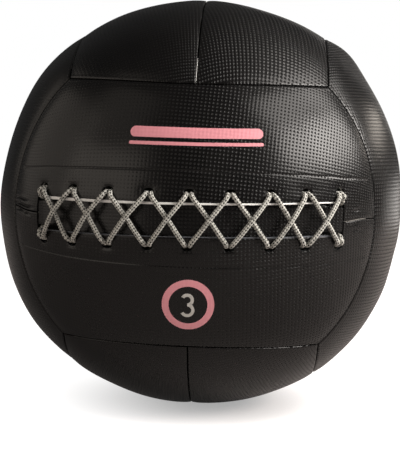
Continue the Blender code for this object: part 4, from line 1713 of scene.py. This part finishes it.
@dataclass(frozen=True)
class Studio:
    """Pale floor, white surroundings, soft boxes and the camera."""

    centre: Vector
    ball_radius: float = 175.0 * MM
    # How the ball is turned in front of the camera: about X, then Y, then Z, in degrees
    ball_turn: tuple[float, float, float] = (4.568, 2.096, -2.664)
    distance_in_radii: float = 6.51
    image_size_px: Pair = (400.0, 468.0)
    ball_middle_px: Pair = (200.7, 201.4)
    ball_radius_px: float = 202.0
    sensor_mm: float = 36.0
    clip: Pair = (0.05, 30.0)
    world_dim: float = 0.07
    world_mirrored: float = 0.06
    floor_colour: str = "989290"
    mirrored_glow: float = 0.04
    # A painted contact shadow in what the camera sees of the floor: its reach, depth, samples and
    # lean
    painted_shadow_reach: float = 0.036
    painted_shadow_depth: float = 0.58
    painted_shadow_samples: int = 24
    painted_shadow_lean: tuple[float, float, float] = (-0.5, 0.6, 0.63)
    floor_size: float = 6.0

    def camera(self) -> None:
        """The lens follows from the ball's outline: at k radii its radius is f / sqrt(k^2 - 1)."""
        angles = [math.radians(angle) for angle in self.ball_turn]
        turn = Euler(angles, "XYZ").to_matrix().inverted()
        right, ahead, up = (turn @ Vector(axis) for axis in ((1, 0, 0), (0, 1, 0), (0, 0, 1)))
        basis = Matrix((right, up, -ahead)).transposed().to_4x4()
        away = self.distance_in_radii * self.ball_radius
        focal_px = self.ball_radius_px * math.sqrt(self.distance_in_radii ** 2 - 1)
        width, height = self.image_size_px
        data = bpy.data.cameras.new("camera")
        data.sensor_width = self.sensor_mm
        data.lens = focal_px * self.sensor_mm / height
        data.shift_x = (width / 2 - self.ball_middle_px[0]) / height
        data.shift_y = (self.ball_middle_px[1] - height / 2) / height
        data.clip_start, data.clip_end = self.clip
        made = in_scene("camera", data)
        made.matrix_world = Matrix.Translation(self.centre - ahead * away) @ basis
        bpy.context.scene.camera = made

    def rays(self, add: Callable[..., Node]) -> tuple[Node, bpy.types.NodeSocket]:
        """Whether a ray is what the camera sees, straight or through glass, and whether it is
        mirrored."""
        path = add("LightPath").outputs
        straight, through = path["Is Camera Ray"], path["Is Transmission Ray"]
        return add("Math", [straight, through], operation="MAXIMUM"), path["Is Glossy Ray"]

    def surroundings(self) -> None:
        """White where the camera looks past the ball, dim for the light that falls on it. Black
        leather sees a dim room too, since it would turn grey with a white one."""
        world = bpy.data.worlds.new("studio")
        bpy.context.scene.world = world
        world.use_nodes = True
        add = partial(add_node, world.node_tree)
        seen, mirrored = self.rays(add)
        dim = add("MapRange", [mirrored, 0.0, 1.0, self.world_dim, self.world_mirrored])
        strength = add("MapRange", [seen, 0.0, 1.0, dim, 1.0])
        background = world.node_tree.nodes["Background"]
        set_inputs(background, {"Color": WHITE, "Strength": strength})

    def floor(self) -> None:
        """A wide pale floor. To the camera it glows white, and a painted contact shadow, from
        ambient occlusion leaning one way, dims it where the ball stands over it; in reflections it
        glows faintly."""
        half = self.floor_size / 2
        corners = [(-half, -half, 0), (half, -half, 0), (half, half, 0), (-half, half, 0)]
        mesh = bpy.data.meshes.new("floor")
        mesh.from_pydata(corners, [], [(0, 1, 2, 3)])
        made = in_scene("floor", mesh)
        finish, add, shader = new_finish("white_studio_paper")
        seen, mirrored = self.rays(add)
        # Painted contact shadow: ambient occlusion, leaning one way, darkens what the camera sees
        # of the floor
        leaning = add("CombineXYZ", self.painted_shadow_lean)
        reach = {"Distance": self.painted_shadow_reach, "Normal": leaning}
        open_sky = add("AmbientOcclusion", reach, samples=self.painted_shadow_samples).outputs["AO"]
        glow_under_painted_shadow = add("Math", [open_sky, self.painted_shadow_depth], operation="POWER")
        dim = add("Math", [mirrored, self.mirrored_glow], operation="MULTIPLY")
        set_inputs(shader, {
            "Base Color": self.floor_colour, "Roughness": 0.9, "Specular IOR Level": 0.1,
            "Emission Color": WHITE,
            "Emission Strength": add("Math", [seen, glow_under_painted_shadow, dim], operation="MULTIPLY_ADD"),
        })
        mesh.materials.append(finish)

    def build(self) -> None:
        """Everything that isn't the ball."""
        bpy.context.scene.view_settings.view_transform = "Standard"
        self.surroundings()
        self.floor()
        for box in SOFT_BOXES:
            box.build(self.centre)
        self.camera()


def main() -> None:
    """Load the frame, dress the ball, and set up the studio."""
    logging.basicConfig(level=logging.INFO, format="%(name)s: %(message)s")
    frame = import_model()
    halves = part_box("liner_upper")[0].z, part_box("liner_lower")[1].z
    skin = BallSkin(Vector((0.0, 0.0, sum(halves) / 2)), Opening())
    leather = EmbossedLeather().build()
    pale = WovenWebbing("white_woven_webbing", WHITE, "ece9e4").build()
    # The lower facing's webbing is the upper one's, darker and bluish: painted shade on the lower
    # lip
    dull = WovenWebbing("blue_grey_webbing_painted_shade", "6d7076", "55585e").build()
    for face in Face:
        kind = FrontPanel if face is Face.FRONT else CoverPanel
        for strip, side in zip(face.value.strips, (1, -1)):
            kind(skin, face, strip, side).build(leather)
    Facing(skin, "upper", 1, (2.2 * MM, 0.8 * MM)).build(pale)
    # Darker webbing here: painted shade on the lower lip
    Facing(skin, "lower", -1, (0.2 * MM, 0.8 * MM)).build(dull)
    Tongue(skin).build(leather)
    Lace(skin).build(BraidedCord().build())
    Stitching(skin).build(TwistedThread("black_bonded_thread", "0c0b0b", "060606").build())
    # The tape in the right seam is the pale tape, darkened: painted shade deep in the seam
    tape_painted_shade = WovenWebbing("binding_tape_painted_shade", "96938e", "7a7772").build()
    tape = SeamTape(skin)
    tape.build("seam_tape_right", Face.FRONT, (126.9 * MM, 154.0 * MM), tape_painted_shade)
    tape.build("seam_tape_top", Face.TOP, (-166.2 * MM, -141.0 * MM), pale)
    Prints(skin).build(
        PrintInk("pink_screen_print_ink", "e397a0", "d88a94").build(),
        PrintInk("light_pink_screen_print_ink", "f3a6af", "e999a3").build(),
        PrintInk("pale_grey_screen_print_ink", "d2d0cb", "c3c1bc").build(),
    )
    dress_inside(frame["nodes"])
    Studio(skin.centre).build()


if __name__ == "__main__":
    main()
